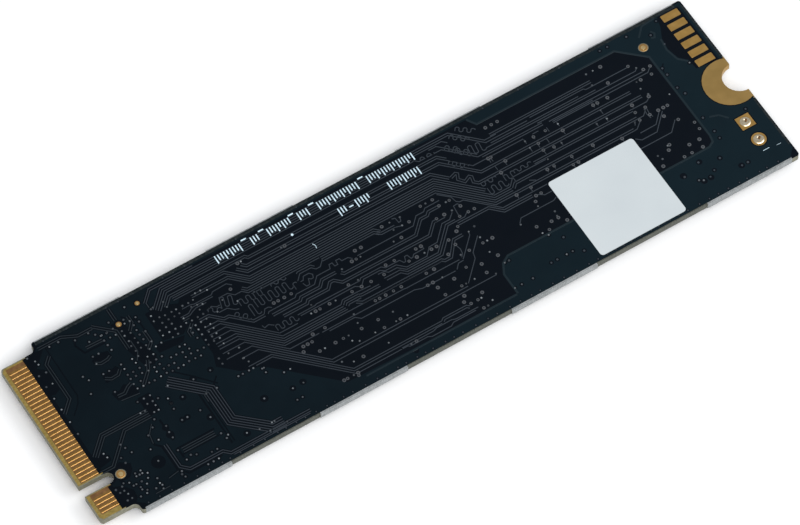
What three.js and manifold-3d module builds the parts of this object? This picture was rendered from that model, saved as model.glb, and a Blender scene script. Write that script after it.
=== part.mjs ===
// M.2 2280 solid state drive: a bare 22 x 80 mm key M card with its chips on one side.
// Millimetres. +Z is up. The chips face down, and the card rests on the tops of its flash packages.
// +X runs along the card from the edge connector to the screw seat, and the key notch is at -Y.
// The origin is at the centre of the card's outline, in the plane that the card rests on.
import * as THREE from "three";
import { mergeVertices } from "three/addons/utils/BufferGeometryUtils.js";
import Module from "manifold-3d";

const wasm = await Module();
wasm.setup();

// ---- Driving dimensions --------------------------------------------------------------------

const CARD_LENGTH = 80;
const CARD_WIDTH = 22;
const ARC_STEPS = 8; // three.js draws each arc or circle with twice as many segments

const TONGUE = {
  length: 4, // from the connector edge to the shoulders
  width: 19.85,
  cornerRadius: 0.35,
  filletRadius: 0.6, // at the inside corners with the shoulders
};
const KEY_NOTCH = { centreY: -6.125, width: 1.2, depth: 3.5 };
const SCREW_SEAT = { holeRadius: 1.75, padRadius: 2.85, padCentreInset: 1.1 };
const BREAK_TAB = {
  recess: 0.1, // how far the broken-off stretches sit behind the routed ones
  stretches: [
    [14, 24],
    [34, 46],
    [56, 69],
  ],
};
const CORNER_RADIUS = 0.3;

const CORE_THICKNESS = 0.73;
const MASK_THICKNESS = 0.03;
const COPPER_THICKNESS = 0.035;
const MASK_CLEARANCE = 0.1; // ring of bare laminate round each pad
const CHIP_CLEARANCE = 1.2; // from the resting plane to the mask on the chip side

const CONTACT = {
  pitch: 0.5,
  width: 0.35,
  start: 0.45, // from the connector edge to the contact's tip
  end: 2.5,
  busEnd: 2.8, // far side of the strip that joins a row of contacts
};
const BACK_ROWS = [
  { name: "back_edge_contacts_main", firstY: 9, count: 29 },
  { name: "back_edge_contacts_key_side", firstY: -7.5, count: 4 },
];
const FRONT_ROWS = [
  { name: "front_edge_contacts_main", firstY: 9.25, count: 29 },
  { name: "front_edge_contacts_key_side", firstY: -7.25, count: 5 },
];

const TEST_PADS = { count: 6, firstY: 9.9, pitch: 1.27, start: 77.2, end: 79.25, width: 0.9 };
const HEADER = { x: 77.55, squareY: -4.85, roundY: -7.3, size: 1.62, holeRadius: 0.5, plating: 0.06 };
const GOLD_DOTS = [
  { name: "tooling_dot_1", x: 12.45, y: 8.25, radius: 0.32 },
  { name: "tooling_dot_2", x: 15.2, y: 9.38, radius: 0.28 },
  { name: "fiducial_connector_end", x: 4.2, y: -6.4, radius: 0.45 },
  { name: "fiducial_screw_end", x: 73.75, y: 8.1, radius: 0.45 },
];
const STICKER = { x: 61.85, y: -5.45, size: 10.05, cornerRadius: 0.35, thickness: 0.06 };

const BALL_HEIGHT = 0.22; // solder balls under a chip, whose height its substrate takes here
const FLASH = {
  length: 12,
  width: 18,
  substrate: 0.4,
  firstX: 28.5,
  pitch: 13,
  count: 4,
  capInset: 0.06,
};
const CONTROLLER = { x: 14, y: 4.2, size: 11, substrate: 0.42, height: 1.1, capSize: 10.4 };
const PIN_ONE_DIMPLE = { radius: 0.45, depth: 0.05, inset: 1.1 };

// Small parts on the chip side: centre x and y on the card, length, width and height.
const MOULDED_CHIPS = [
  { name: "power_management_chip", x: 8.2, y: -4.3, length: 4, width: 4, height: 0.75, dimple: 0.25 },
  { name: "load_switch", x: 5.9, y: -8.9, length: 2, width: 2, height: 0.6, dimple: 0.18 },
  { name: "configuration_memory", x: 75.6, y: 5.6, length: 2, width: 3, height: 0.6, dimple: 0.2 },
];
const INDUCTORS = [
  { name: "power_inductor_1", x: 12.6, y: -3.3 },
  { name: "power_inductor_2", x: 12.6, y: -6.1 },
  { name: "power_inductor_3", x: 12.6, y: -8.9 },
];
const INDUCTOR = { length: 2.5, width: 2, height: 1.1, cornerRadius: 0.25 };
const CRYSTAL = { x: 21, y: 6.8, length: 1.6, width: 2, base: 0.25, lid: 0.25, lidInset: 0.12 };
const CAPACITOR = { length: 1.6, width: 0.8, height: 0.8, terminal: 0.35 };
const CAPACITORS = [
  { name: "input_capacitor_1", x: 5.1, y: -1.5 },
  { name: "input_capacitor_2", x: 5.1, y: -2.8 },
  { name: "output_capacitor_1", x: 16.2, y: -3.3 },
  { name: "output_capacitor_2", x: 16.2, y: -6.1 },
  { name: "output_capacitor_3", x: 16.2, y: -8.9 },
  { name: "flash_capacitor_1", x: 19.4, y: -4.7 },
  { name: "flash_capacitor_2", x: 19.4, y: -7.5 },
  { name: "flash_capacitor_3", x: 75.7, y: -5.2 },
];

// ---- Heights, from the resting plane up ----------------------------------------------------

const FRONT_MASK_Z = CHIP_CLEARANCE; // the plane that the chips are soldered to
const CORE_BOTTOM_Z = FRONT_MASK_Z + MASK_THICKNESS;
const CORE_TOP_Z = CORE_BOTTOM_Z + CORE_THICKNESS;
const BACK_MASK_Z = CORE_TOP_Z + MASK_THICKNESS;
const FRONT_COPPER_Z = CORE_BOTTOM_Z - COPPER_THICKNESS;

const COLOURS = {
  laminate: { color: 0x8c8368, roughness: 0.7, metalness: 0 },
  mask: { color: 0x141b24, roughness: 0.35, metalness: 0 },
  gold: { color: 0xb8935a, roughness: 0.35, metalness: 1 },
  sticker: { color: 0xd6dce0, roughness: 0.6, metalness: 0 },
  substrate: { color: 0x2a3a30, roughness: 0.5, metalness: 0 },
  mould: { color: 0x1c1c1e, roughness: 0.55, metalness: 0 },
  ferrite: { color: 0x4a4b4d, roughness: 0.6, metalness: 0.1 },
  ceramic: { color: 0x8d7458, roughness: 0.6, metalness: 0 },
  steel: { color: 0xb9bcc0, roughness: 0.3, metalness: 1 },
};

// ---- Outlines ------------------------------------------------------------------------------

const HALF_LENGTH = CARD_LENGTH / 2;
const HALF_WIDTH = CARD_WIDTH / 2;

// The distance along the card from the connector edge, as an x in the part's frame.
function along(fromConnector) {
  return fromConnector - HALF_LENGTH;
}

function rectangle(x0, y0, x1, y1) {
  const shape = new THREE.Shape();
  shape.moveTo(x0, y0);
  shape.lineTo(x1, y0);
  shape.lineTo(x1, y1);
  shape.lineTo(x0, y1);
  shape.closePath();
  return shape;
}

function roundedRectangle(x0, y0, x1, y1, radius) {
  const shape = new THREE.Shape();
  shape.moveTo(x0 + radius, y0);
  shape.absarc(x1 - radius, y0 + radius, radius, -Math.PI / 2, 0, false);
  shape.absarc(x1 - radius, y1 - radius, radius, 0, Math.PI / 2, false);
  shape.absarc(x0 + radius, y1 - radius, radius, Math.PI / 2, Math.PI, false);
  shape.absarc(x0 + radius, y0 + radius, radius, Math.PI, (3 * Math.PI) / 2, false);
  return shape;
}

function circle(x, y, radius) {
  const shape = new THREE.Shape();
  shape.absarc(x, y, radius, 0, 2 * Math.PI, false);
  return shape;
}

// Walks the long edge at y = side * HALF_WIDTH from one x to another, stepping in at each break tab.
function traceLongEdge(shape, side, fromScrewEnd) {
  const stretches = fromScrewEnd ? [...BREAK_TAB.stretches].reverse() : BREAK_TAB.stretches;
  const outer = side * HALF_WIDTH;
  const inner = side * (HALF_WIDTH - BREAK_TAB.recess);
  for (const stretch of stretches) {
    const [near, far] = fromScrewEnd ? [stretch[1], stretch[0]] : stretch;
    shape.lineTo(along(near), outer);
    shape.lineTo(along(near), inner);
    shape.lineTo(along(far), inner);
    shape.lineTo(along(far), outer);
  }
}

// The whole card: tongue, shoulders, routed edges with break tabs, and the half-round screw seat.
function cardOutline() {
  const shape = new THREE.Shape();
  const tongueHalf = TONGUE.width / 2;
  const tip = TONGUE.cornerRadius;
  const fillet = TONGUE.filletRadius;
  const shoulderX = along(TONGUE.length);
  const notchRadius = KEY_NOTCH.width / 2;
  const notchBottomX = along(KEY_NOTCH.depth) - notchRadius;
  // Along the connector edge from +Y to -Y, round the key notch.
  shape.moveTo(along(0), KEY_NOTCH.centreY + notchRadius);
  shape.lineTo(notchBottomX, KEY_NOTCH.centreY + notchRadius);
  shape.absarc(notchBottomX, KEY_NOTCH.centreY, notchRadius, Math.PI / 2, -Math.PI / 2, true);
  shape.lineTo(along(0), KEY_NOTCH.centreY - notchRadius);
  shape.absarc(along(tip), -tongueHalf + tip, tip, Math.PI, (3 * Math.PI) / 2, false);
  shape.absarc(shoulderX - fillet, -tongueHalf - fillet, fillet, Math.PI / 2, 0, true);
  // The shoulder at -Y, then the long edge to the screw end.
  shape.absarc(
    shoulderX + CORNER_RADIUS,
    -HALF_WIDTH + CORNER_RADIUS,
    CORNER_RADIUS,
    Math.PI,
    (3 * Math.PI) / 2,
    false,
  );
  traceLongEdge(shape, -1, false);
  shape.absarc(
    HALF_LENGTH - CORNER_RADIUS,
    -HALF_WIDTH + CORNER_RADIUS,
    CORNER_RADIUS,
    -Math.PI / 2,
    0,
    false,
  );
  shape.absarc(HALF_LENGTH, 0, SCREW_SEAT.holeRadius, -Math.PI / 2, -(3 * Math.PI) / 2, true);
  shape.absarc(
    HALF_LENGTH - CORNER_RADIUS,
    HALF_WIDTH - CORNER_RADIUS,
    CORNER_RADIUS,
    0,
    Math.PI / 2,
    false,
  );
  traceLongEdge(shape, 1, true);
  shape.absarc(
    shoulderX + CORNER_RADIUS,
    HALF_WIDTH - CORNER_RADIUS,
    CORNER_RADIUS,
    Math.PI / 2,
    Math.PI,
    false,
  );
  shape.absarc(shoulderX - fillet, tongueHalf + fillet, fillet, 0, -Math.PI / 2, true);
  shape.absarc(along(tip), tongueHalf - tip, tip, Math.PI / 2, Math.PI, false);
  shape.closePath();
  return shape;
}

// The gold land round the screw seat, open at the card's end, grown by a margin for mask openings.
function screwSeatLand(margin, withHole) {
  const radius = SCREW_SEAT.padRadius + margin;
  const centreX = HALF_LENGTH - SCREW_SEAT.padCentreInset;
  const shape = new THREE.Shape();
  shape.moveTo(HALF_LENGTH, radius);
  shape.lineTo(centreX, radius);
  shape.absarc(centreX, 0, radius, Math.PI / 2, (3 * Math.PI) / 2, false);
  shape.lineTo(HALF_LENGTH, -radius);
  if (withHole)
    shape.absarc(HALF_LENGTH, 0, SCREW_SEAT.holeRadius, -Math.PI / 2, -(3 * Math.PI) / 2, true);
  shape.closePath();
  return shape;
}

// One row of contacts, joined at their inner ends by a strip.
function contactRow(row) {
  const half = CONTACT.width / 2;
  const tipX = along(CONTACT.start);
  const rootX = along(CONTACT.end);
  const shape = new THREE.Shape();
  const lastY = row.firstY - CONTACT.pitch * (row.count - 1);
  shape.moveTo(along(CONTACT.busEnd), row.firstY + half);
  for (let i = 0; i < row.count; i++) {
    const y = row.firstY - CONTACT.pitch * i;
    if (i > 0) shape.lineTo(rootX, y + half);
    shape.lineTo(tipX, y + half);
    shape.lineTo(tipX, y - half);
    if (i < row.count - 1) shape.lineTo(rootX, y - half);
  }
  shape.lineTo(along(CONTACT.busEnd), lastY - half);
  shape.closePath();
  return shape;
}

// ---- Solids --------------------------------------------------------------------------------

// A flat plate of the outline, from one height to another.
function plate(shape, lowZ, highZ) {
  const settings = { depth: highZ - lowZ, bevelEnabled: false, curveSegments: ARC_STEPS };
  const geometry = new THREE.ExtrudeGeometry(shape, settings);
  geometry.translate(0, 0, lowZ);
  return geometry;
}

function block(x, y, length, width, lowZ, highZ) {
  const geometry = new THREE.BoxGeometry(length, width, highZ - lowZ);
  geometry.translate(x, y, (lowZ + highZ) / 2);
  return geometry;
}

function toSolid(geometry) {
  const bare = new THREE.BufferGeometry();
  const source = geometry.index ? geometry.toNonIndexed() : geometry;
  bare.setAttribute("position", source.getAttribute("position"));
  const merged = mergeVertices(bare, 1e-4);
  return new wasm.Manifold(
    new wasm.Mesh({
      numProp: 3,
      vertProperties: merged.attributes.position.array,
      triVerts: new Uint32Array(merged.index.array),
    }),
  );
}

function toGeometry(solid) {
  const mesh = solid.getMesh();
  const positions = new Float32Array(mesh.numVert * 3);
  for (let i = 0; i < mesh.numVert; i++) {
    const start = i * mesh.numProp;
    positions.set(mesh.vertProperties.subarray(start, start + 3), i * 3);
  }
  const geometry = new THREE.BufferGeometry();
  geometry.setAttribute("position", new THREE.BufferAttribute(positions, 3));
  geometry.setIndex(new THREE.BufferAttribute(mesh.triVerts, 1));
  return geometry;
}

function join(...geometries) {
  return toGeometry(geometries.map(toSolid).reduce((whole, piece) => whole.add(piece)));
}

function cut(geometry, ...tools) {
  return toGeometry(tools.map(toSolid).reduce((left, tool) => left.subtract(tool), toSolid(geometry)));
}

const card = new THREE.Group();

function addPart(name, geometry, look) {
  const mesh = new THREE.Mesh(geometry, new THREE.MeshStandardMaterial(COLOURS[look]));
  mesh.name = name;
  card.add(mesh);
}

// ---- Board ---------------------------------------------------------------------------------

function addBoard() {
  const outline = cardOutline();
  const drill = HEADER.holeRadius + HEADER.plating;
  outline.holes.push(circle(along(HEADER.x), HEADER.squareY, drill));
  outline.holes.push(circle(along(HEADER.x), HEADER.roundY, drill));
  addPart("board_laminate", plate(outline, CORE_BOTTOM_Z, CORE_TOP_Z), "laminate");
}

// The film of solder mask on one side. It stops at the contacts and is open round every pad.
function maskFilm(lowZ, openings) {
  const highZ = lowZ + MASK_THICKNESS;
  const overlap = 1; // how far the cutting tools reach past the film
  const cutters = [
    rectangle(along(-overlap), -CARD_WIDTH, along(CONTACT.busEnd), CARD_WIDTH),
    screwSeatLand(MASK_CLEARANCE, false),
    ...openings,
  ];
  const film = plate(cardOutline(), lowZ, highZ);
  return cut(film, ...cutters.map((shape) => plate(shape, lowZ - overlap, highZ + overlap)));
}

function headerOpenings() {
  const half = HEADER.size / 2 + MASK_CLEARANCE;
  const x = along(HEADER.x);
  return [
    rectangle(x - half, HEADER.squareY - half, x + half, HEADER.squareY + half),
    circle(x, HEADER.roundY, half),
  ];
}

function testPadOutline(index, margin) {
  const y = TEST_PADS.firstY - TEST_PADS.pitch * index;
  const half = TEST_PADS.width / 2 + margin;
  return rectangle(along(TEST_PADS.start) - margin, y - half, along(TEST_PADS.end) + margin, y + half);
}

function testPadIndices() {
  return [...Array(TEST_PADS.count).keys()];
}

function addMasks() {
  const backOpenings = [
    ...headerOpenings(),
    ...testPadIndices().map((index) => testPadOutline(index, MASK_CLEARANCE)),
    ...GOLD_DOTS.map((dot) => circle(along(dot.x), dot.y, dot.radius + MASK_CLEARANCE)),
  ];
  addPart("solder_mask_back", maskFilm(CORE_TOP_Z, backOpenings), "mask");
  addPart("solder_mask_front", maskFilm(FRONT_MASK_Z, headerOpenings()), "mask");
}

// ---- Copper --------------------------------------------------------------------------------

function addBackCopper(name, shape) {
  addPart(name, plate(shape, CORE_TOP_Z, CORE_TOP_Z + COPPER_THICKNESS), "gold");
}

function addFrontCopper(name, shape) {
  addPart(name, plate(shape, FRONT_COPPER_Z, CORE_BOTTOM_Z), "gold");
}

// A pad on each side of the card and the plated barrel between them, drilled through.
function platedHole(padOutline, y) {
  const x = along(HEADER.x);
  const drilled = circle(x, y, HEADER.holeRadius + HEADER.plating);
  const open = circle(x, y, HEADER.holeRadius);
  const body = join(
    plate(padOutline, CORE_TOP_Z, CORE_TOP_Z + COPPER_THICKNESS),
    plate(drilled, FRONT_COPPER_Z, CORE_TOP_Z + COPPER_THICKNESS),
    plate(padOutline, FRONT_COPPER_Z, CORE_BOTTOM_Z),
  );
  return cut(body, plate(open, 0, 2 * CORE_TOP_Z));
}

function addCopper() {
  for (const row of BACK_ROWS) addBackCopper(row.name, contactRow(row));
  for (const row of FRONT_ROWS) addFrontCopper(row.name, contactRow(row));
  addBackCopper("screw_seat_ring_back", screwSeatLand(0, true));
  addFrontCopper("screw_seat_ring_front", screwSeatLand(0, true));
  for (const index of testPadIndices())
    addBackCopper("test_pad_" + (index + 1), testPadOutline(index, 0));
  for (const dot of GOLD_DOTS) addBackCopper(dot.name, circle(along(dot.x), dot.y, dot.radius));
  const half = HEADER.size / 2;
  const x = along(HEADER.x);
  const square = rectangle(x - half, HEADER.squareY - half, x + half, HEADER.squareY + half);
  addPart("header_hole_square", platedHole(square, HEADER.squareY), "gold");
  addPart("header_hole_round", platedHole(circle(x, HEADER.roundY, half), HEADER.roundY), "gold");
}

function addSticker() {
  const half = STICKER.size / 2;
  const x = along(STICKER.x);
  const outline = roundedRectangle(
    x - half,
    STICKER.y - half,
    x + half,
    STICKER.y + half,
    STICKER.cornerRadius,
  );
  addPart("blank_sticker", plate(outline, BACK_MASK_Z, BACK_MASK_Z + STICKER.thickness), "sticker");
}

// ---- Chip side -----------------------------------------------------------------------------

// The moulded top of a chip, with a round dimple that marks its first pin.
function mouldedBlock(x, y, length, width, lowZ, highZ, dimple) {
  const dimpleX = x - length / 2 + dimple.inset;
  const dimpleY = y + width / 2 - dimple.inset;
  const tool = plate(circle(dimpleX, dimpleY, dimple.radius), lowZ - 1, lowZ + dimple.depth);
  return cut(block(x, y, length, width, lowZ, highZ), tool);
}

function addFlashPackages() {
  const capTop = FRONT_MASK_Z - FLASH.substrate;
  for (let i = 0; i < FLASH.count; i++) {
    const x = along(FLASH.firstX + FLASH.pitch * i);
    const name = "flash_package_" + (i + 1);
    const capLength = FLASH.length - 2 * FLASH.capInset;
    const capWidth = FLASH.width - 2 * FLASH.capInset;
    addPart(name + "_substrate", block(x, 0, FLASH.length, FLASH.width, capTop, FRONT_MASK_Z), "substrate");
    addPart(name + "_mould", mouldedBlock(x, 0, capLength, capWidth, 0, capTop, PIN_ONE_DIMPLE), "mould");
  }
}

function addController() {
  const { x, y, size, substrate, height, capSize } = CONTROLLER;
  const capTop = FRONT_MASK_Z - substrate;
  const lowZ = FRONT_MASK_Z - height;
  addPart("controller_substrate", block(along(x), y, size, size, capTop, FRONT_MASK_Z), "substrate");
  addPart(
    "controller_mould",
    mouldedBlock(along(x), y, capSize, capSize, lowZ, capTop, PIN_ONE_DIMPLE),
    "mould",
  );
}

function addMouldedChips() {
  for (const chip of MOULDED_CHIPS) {
    const dimple = { radius: chip.dimple, depth: PIN_ONE_DIMPLE.depth, inset: 2 * chip.dimple + 0.1 };
    const lowZ = FRONT_MASK_Z - chip.height;
    const { x, y, length, width } = chip;
    addPart(chip.name, mouldedBlock(along(x), y, length, width, lowZ, FRONT_MASK_Z, dimple), "mould");
  }
}

function addInductors() {
  const { length, width, height, cornerRadius } = INDUCTOR;
  for (const { name, x, y } of INDUCTORS) {
    const outline = roundedRectangle(
      along(x) - length / 2,
      y - width / 2,
      along(x) + length / 2,
      y + width / 2,
      cornerRadius,
    );
    addPart(name, plate(outline, FRONT_MASK_Z - height, FRONT_MASK_Z), "ferrite");
  }
}

function addCrystal() {
  const { x, y, length, width, base, lid, lidInset } = CRYSTAL;
  const lidTop = FRONT_MASK_Z - base;
  addPart("crystal_base", block(along(x), y, length, width, lidTop, FRONT_MASK_Z), "ceramic");
  const lidLength = length - 2 * lidInset;
  const lidWidth = width - 2 * lidInset;
  addPart("crystal_lid", block(along(x), y, lidLength, lidWidth, lidTop - lid, lidTop), "steel");
}

// A ceramic chip capacitor: the body and its two slightly larger end caps, as one solid.
function addCapacitors() {
  const { length, width, height, terminal } = CAPACITOR;
  const step = 0.03; // how far the end caps stand proud of the body
  const low = FRONT_MASK_Z - height;
  for (const { name, x, y } of CAPACITORS) {
    const bodyLength = length - 2 * terminal;
    const body = block(along(x), y, bodyLength, width - 2 * step, low + step, FRONT_MASK_Z);
    const ends = [-1, 1].map((side) => {
      const endX = along(x) + (side * (length - terminal)) / 2;
      return block(endX, y, terminal, width, low, FRONT_MASK_Z);
    });
    addPart(name, join(ends[0], body, ends[1]), "ceramic");
  }
}

addBoard();
addMasks();
addCopper();
addSticker();
addFlashPackages();
addController();
addMouldedChips();
addInductors();
addCrystal();
addCapacitors();

export default card;
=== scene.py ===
"""The looks of a bare M.2 solid state drive card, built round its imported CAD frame.

The card lies with its chips down. Places on the card are given in millimetres, x from the connector
edge and y from the card's long centre line, and card_point() turns them into metres in the frame.
"""

import math
import random

import bmesh
import bpy
from mathutils import Matrix, Vector
from mathutils.geometry import delaunay_2d_cdt


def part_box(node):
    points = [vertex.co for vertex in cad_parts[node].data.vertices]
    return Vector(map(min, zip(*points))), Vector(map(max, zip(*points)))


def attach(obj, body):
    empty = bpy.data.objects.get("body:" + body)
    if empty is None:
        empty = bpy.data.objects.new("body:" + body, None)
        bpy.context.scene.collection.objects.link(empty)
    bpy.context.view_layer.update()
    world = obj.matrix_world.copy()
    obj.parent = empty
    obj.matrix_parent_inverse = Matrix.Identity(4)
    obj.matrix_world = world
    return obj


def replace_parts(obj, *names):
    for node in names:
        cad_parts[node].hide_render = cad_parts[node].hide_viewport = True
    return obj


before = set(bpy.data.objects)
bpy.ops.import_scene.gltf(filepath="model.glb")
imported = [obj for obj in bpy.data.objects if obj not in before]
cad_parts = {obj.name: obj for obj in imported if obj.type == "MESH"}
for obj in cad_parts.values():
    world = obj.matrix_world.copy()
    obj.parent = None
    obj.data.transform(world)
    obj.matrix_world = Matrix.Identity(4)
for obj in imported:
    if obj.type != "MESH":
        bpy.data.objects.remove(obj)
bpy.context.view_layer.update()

MM = 0.001
BODY = "root"

# ---- Places taken from the frame -----------------------------------------------------------

LAMINATE_LOW, LAMINATE_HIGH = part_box("board_laminate")
CONNECTOR_EDGE_X = LAMINATE_LOW.x
BACK_LAMINATE_Z = LAMINATE_HIGH.z
FRONT_LAMINATE_Z = LAMINATE_LOW.z
BACK_MASK_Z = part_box("solder_mask_back")[1].z
FRONT_MASK_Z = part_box("solder_mask_front")[0].z
CARD_LENGTH = (LAMINATE_HIGH.x - LAMINATE_LOW.x) / MM
CARD_HALF_WIDTH = LAMINATE_HIGH.y / MM

# ---- Camera --------------------------------------------------------------------------------

CAMERA_AZIMUTH = math.radians(-119.98)  # of the camera seen from the card, from +X
CAMERA_ELEVATION = math.radians(58.67)
CAMERA_ROLL = math.radians(1.94)
CAMERA_DISTANCE = 529.7 * MM
CAMERA_AIM = Vector((-0.349 * MM, -0.301 * MM, BACK_LAMINATE_Z - 0.246 * MM))
CAMERA_LENS = 241.0
SENSOR_WIDTH = 36.0

# ---- Light ---------------------------------------------------------------------------------

WORLD_COLOUR = (0.93, 0.96, 1.0, 1.0)
WORLD_STRENGTH = 0.42
FLOOR_SIZE = 4.0
# Area lights: name, place, size and power.
LIGHTS = (("key", (-0.2, -0.75, 1.0), 0.9, 12.6), ("fill", (0.7, -0.5, 0.9), 0.8, 6.6))


def card_point(x, y, z):
    """A point given in millimetres on the card and a height in metres, in the frame."""
    return Vector((CONNECTOR_EDGE_X + x * MM, y * MM, z))


# ---- Meshes --------------------------------------------------------------------------------


def left_normal(start, end):
    """The unit vector to the left of the way from start to end."""
    dx, dy = end[0] - start[0], end[1] - start[1]
    length = math.hypot(dx, dy)
    return -dy / length, dx / length


def offset_path(points, distance, closed=False):
    """The path moved sideways, to the left when distance is above 0, with mitred corners."""
    moved = []
    last = len(points) - 1
    for i, point in enumerate(points):
        normals = []
        if i > 0 or closed:
            normals.append(left_normal(points[i - 1], point))
        if i < last or closed:
            normals.append(left_normal(point, points[(i + 1) % len(points)]))
        bx = sum(n[0] for n in normals) / len(normals)
        by = sum(n[1] for n in normals) / len(normals)
        stretch = distance / max(bx * bx + by * by, 0.2)
        moved.append((point[0] + bx * stretch, point[1] + by * stretch))
    return moved


def circle_points(x, y, radius, count=16):
    step = 2 * math.pi / count
    return [(x + radius * math.cos(i * step), y + radius * math.sin(i * step)) for i in range(count)]


def plain_rectangle(x0, y0, x1, y1):
    return [(x0, y0), (x1, y0), (x1, y1), (x0, y1)]


def rounded_rectangle(x0, y0, x1, y1, radius, steps=4):
    points = []
    corners = ((x1, y0, -90), (x1, y1, 0), (x0, y1, 90), (x0, y0, 180))
    for cx, cy, start in corners:
        centre_x = cx + (radius if cx == x0 else -radius)
        centre_y = cy + (radius if cy == y0 else -radius)
        for i in range(steps + 1):
            angle = math.radians(start + 90 * i / steps)
            points.append((centre_x + radius * math.cos(angle), centre_y + radius * math.sin(angle)))
    return points


class Relief:
    """Collects low closed shapes that stand on one face of the card, and builds them as one mesh.

    Heights are in millimetres above the base plane, away from the card.
    """

    def __init__(self, base_z, outward=1):
        self.base_z = base_z
        self.outward = outward
        self.mesh = bmesh.new()

    def ring_of_verts(self, outline, height):
        z = self.base_z + self.outward * height * MM
        return [self.mesh.verts.new(card_point(x, y, z)) for x, y in outline]

    def loft(self, rings):
        """A closed solid through rings of equal length, from the first ring up to the last."""
        levels = [self.ring_of_verts(outline, height) for outline, height in rings]
        self.mesh.faces.new(list(reversed(levels[0])))
        for lower, upper in zip(levels, levels[1:]):
            count = len(lower)
            for i in range(count):
                j = (i + 1) % count
                self.mesh.faces.new((lower[i], lower[j], upper[j], upper[i]))
        self.mesh.faces.new(levels[-1])

    def slab(self, outline, low, high, bevel=0.0):
        """A flat shape with its upper edge bevelled. The outline runs anticlockwise."""
        rings = [(outline, low)]
        if bevel:
            rings.append((outline, high - bevel))
            rings.append((offset_path(outline, bevel, closed=True), high))
        else:
            rings.append((outline, high))
        self.loft(rings)

    def ribbon(self, path, width, low, high):
        """A track of the width along the path, narrower at its top than at its foot."""
        foot = width / 2
        crown = 0.32 * width
        left_foot, right_foot = offset_path(path, foot), offset_path(path, -foot)
        left_crown, right_crown = offset_path(path, crown), offset_path(path, -crown)
        lines = [
            self.ring_of_verts(right_foot, low),
            self.ring_of_verts(right_crown, high),
            self.ring_of_verts(left_crown, high),
            self.ring_of_verts(left_foot, low),
        ]
        for i in range(len(path) - 1):
            for a in range(4):
                b = (a + 1) % 4
                self.mesh.faces.new((lines[a][i], lines[a][i + 1], lines[b][i + 1], lines[b][i]))
        self.mesh.faces.new([line[0] for line in lines])
        self.mesh.faces.new([line[-1] for line in reversed(lines)])

    def disc(self, x, y, radius, low, high, bevel=0.0, count=16):
        self.slab(circle_points(x, y, radius, count), low, high, bevel)

    def sheet(self, points, triangles, low, high):
        """A flat plate over triangles, with walls down its open edges."""
        lower, upper = self.ring_of_verts(points, low), self.ring_of_verts(points, high)
        edges = set()
        for triangle in triangles:
            self.mesh.faces.new([upper[i] for i in triangle])
            self.mesh.faces.new([lower[i] for i in reversed(triangle)])
            edges |= {(triangle[i - 1], triangle[i]) for i in range(len(triangle))}
        for a, b in edges:
            if (b, a) not in edges:
                self.mesh.faces.new((lower[a], lower[b], upper[b], upper[a]))
        loose = [vert for vert in self.mesh.verts if not vert.link_faces]
        bmesh.ops.delete(self.mesh, geom=loose, context="VERTS")

    def build(self, name, material, smooth=False):
        bmesh.ops.recalc_face_normals(self.mesh, faces=self.mesh.faces)
        return finish_mesh(self.mesh, name, material, smooth)


def finish_mesh(mesh, name, material, smooth=False):
    """Turns a bmesh into a piece that rides on the card."""
    data = bpy.data.meshes.new(name)
    mesh.to_mesh(data)
    mesh.free()
    for polygon in data.polygons:
        polygon.use_smooth = smooth
    piece = bpy.data.objects.new(name, data)
    bpy.context.scene.collection.objects.link(piece)
    data.materials.append(material)
    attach(piece, BODY)
    return piece


# ---- Materials -----------------------------------------------------------------------------


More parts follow.
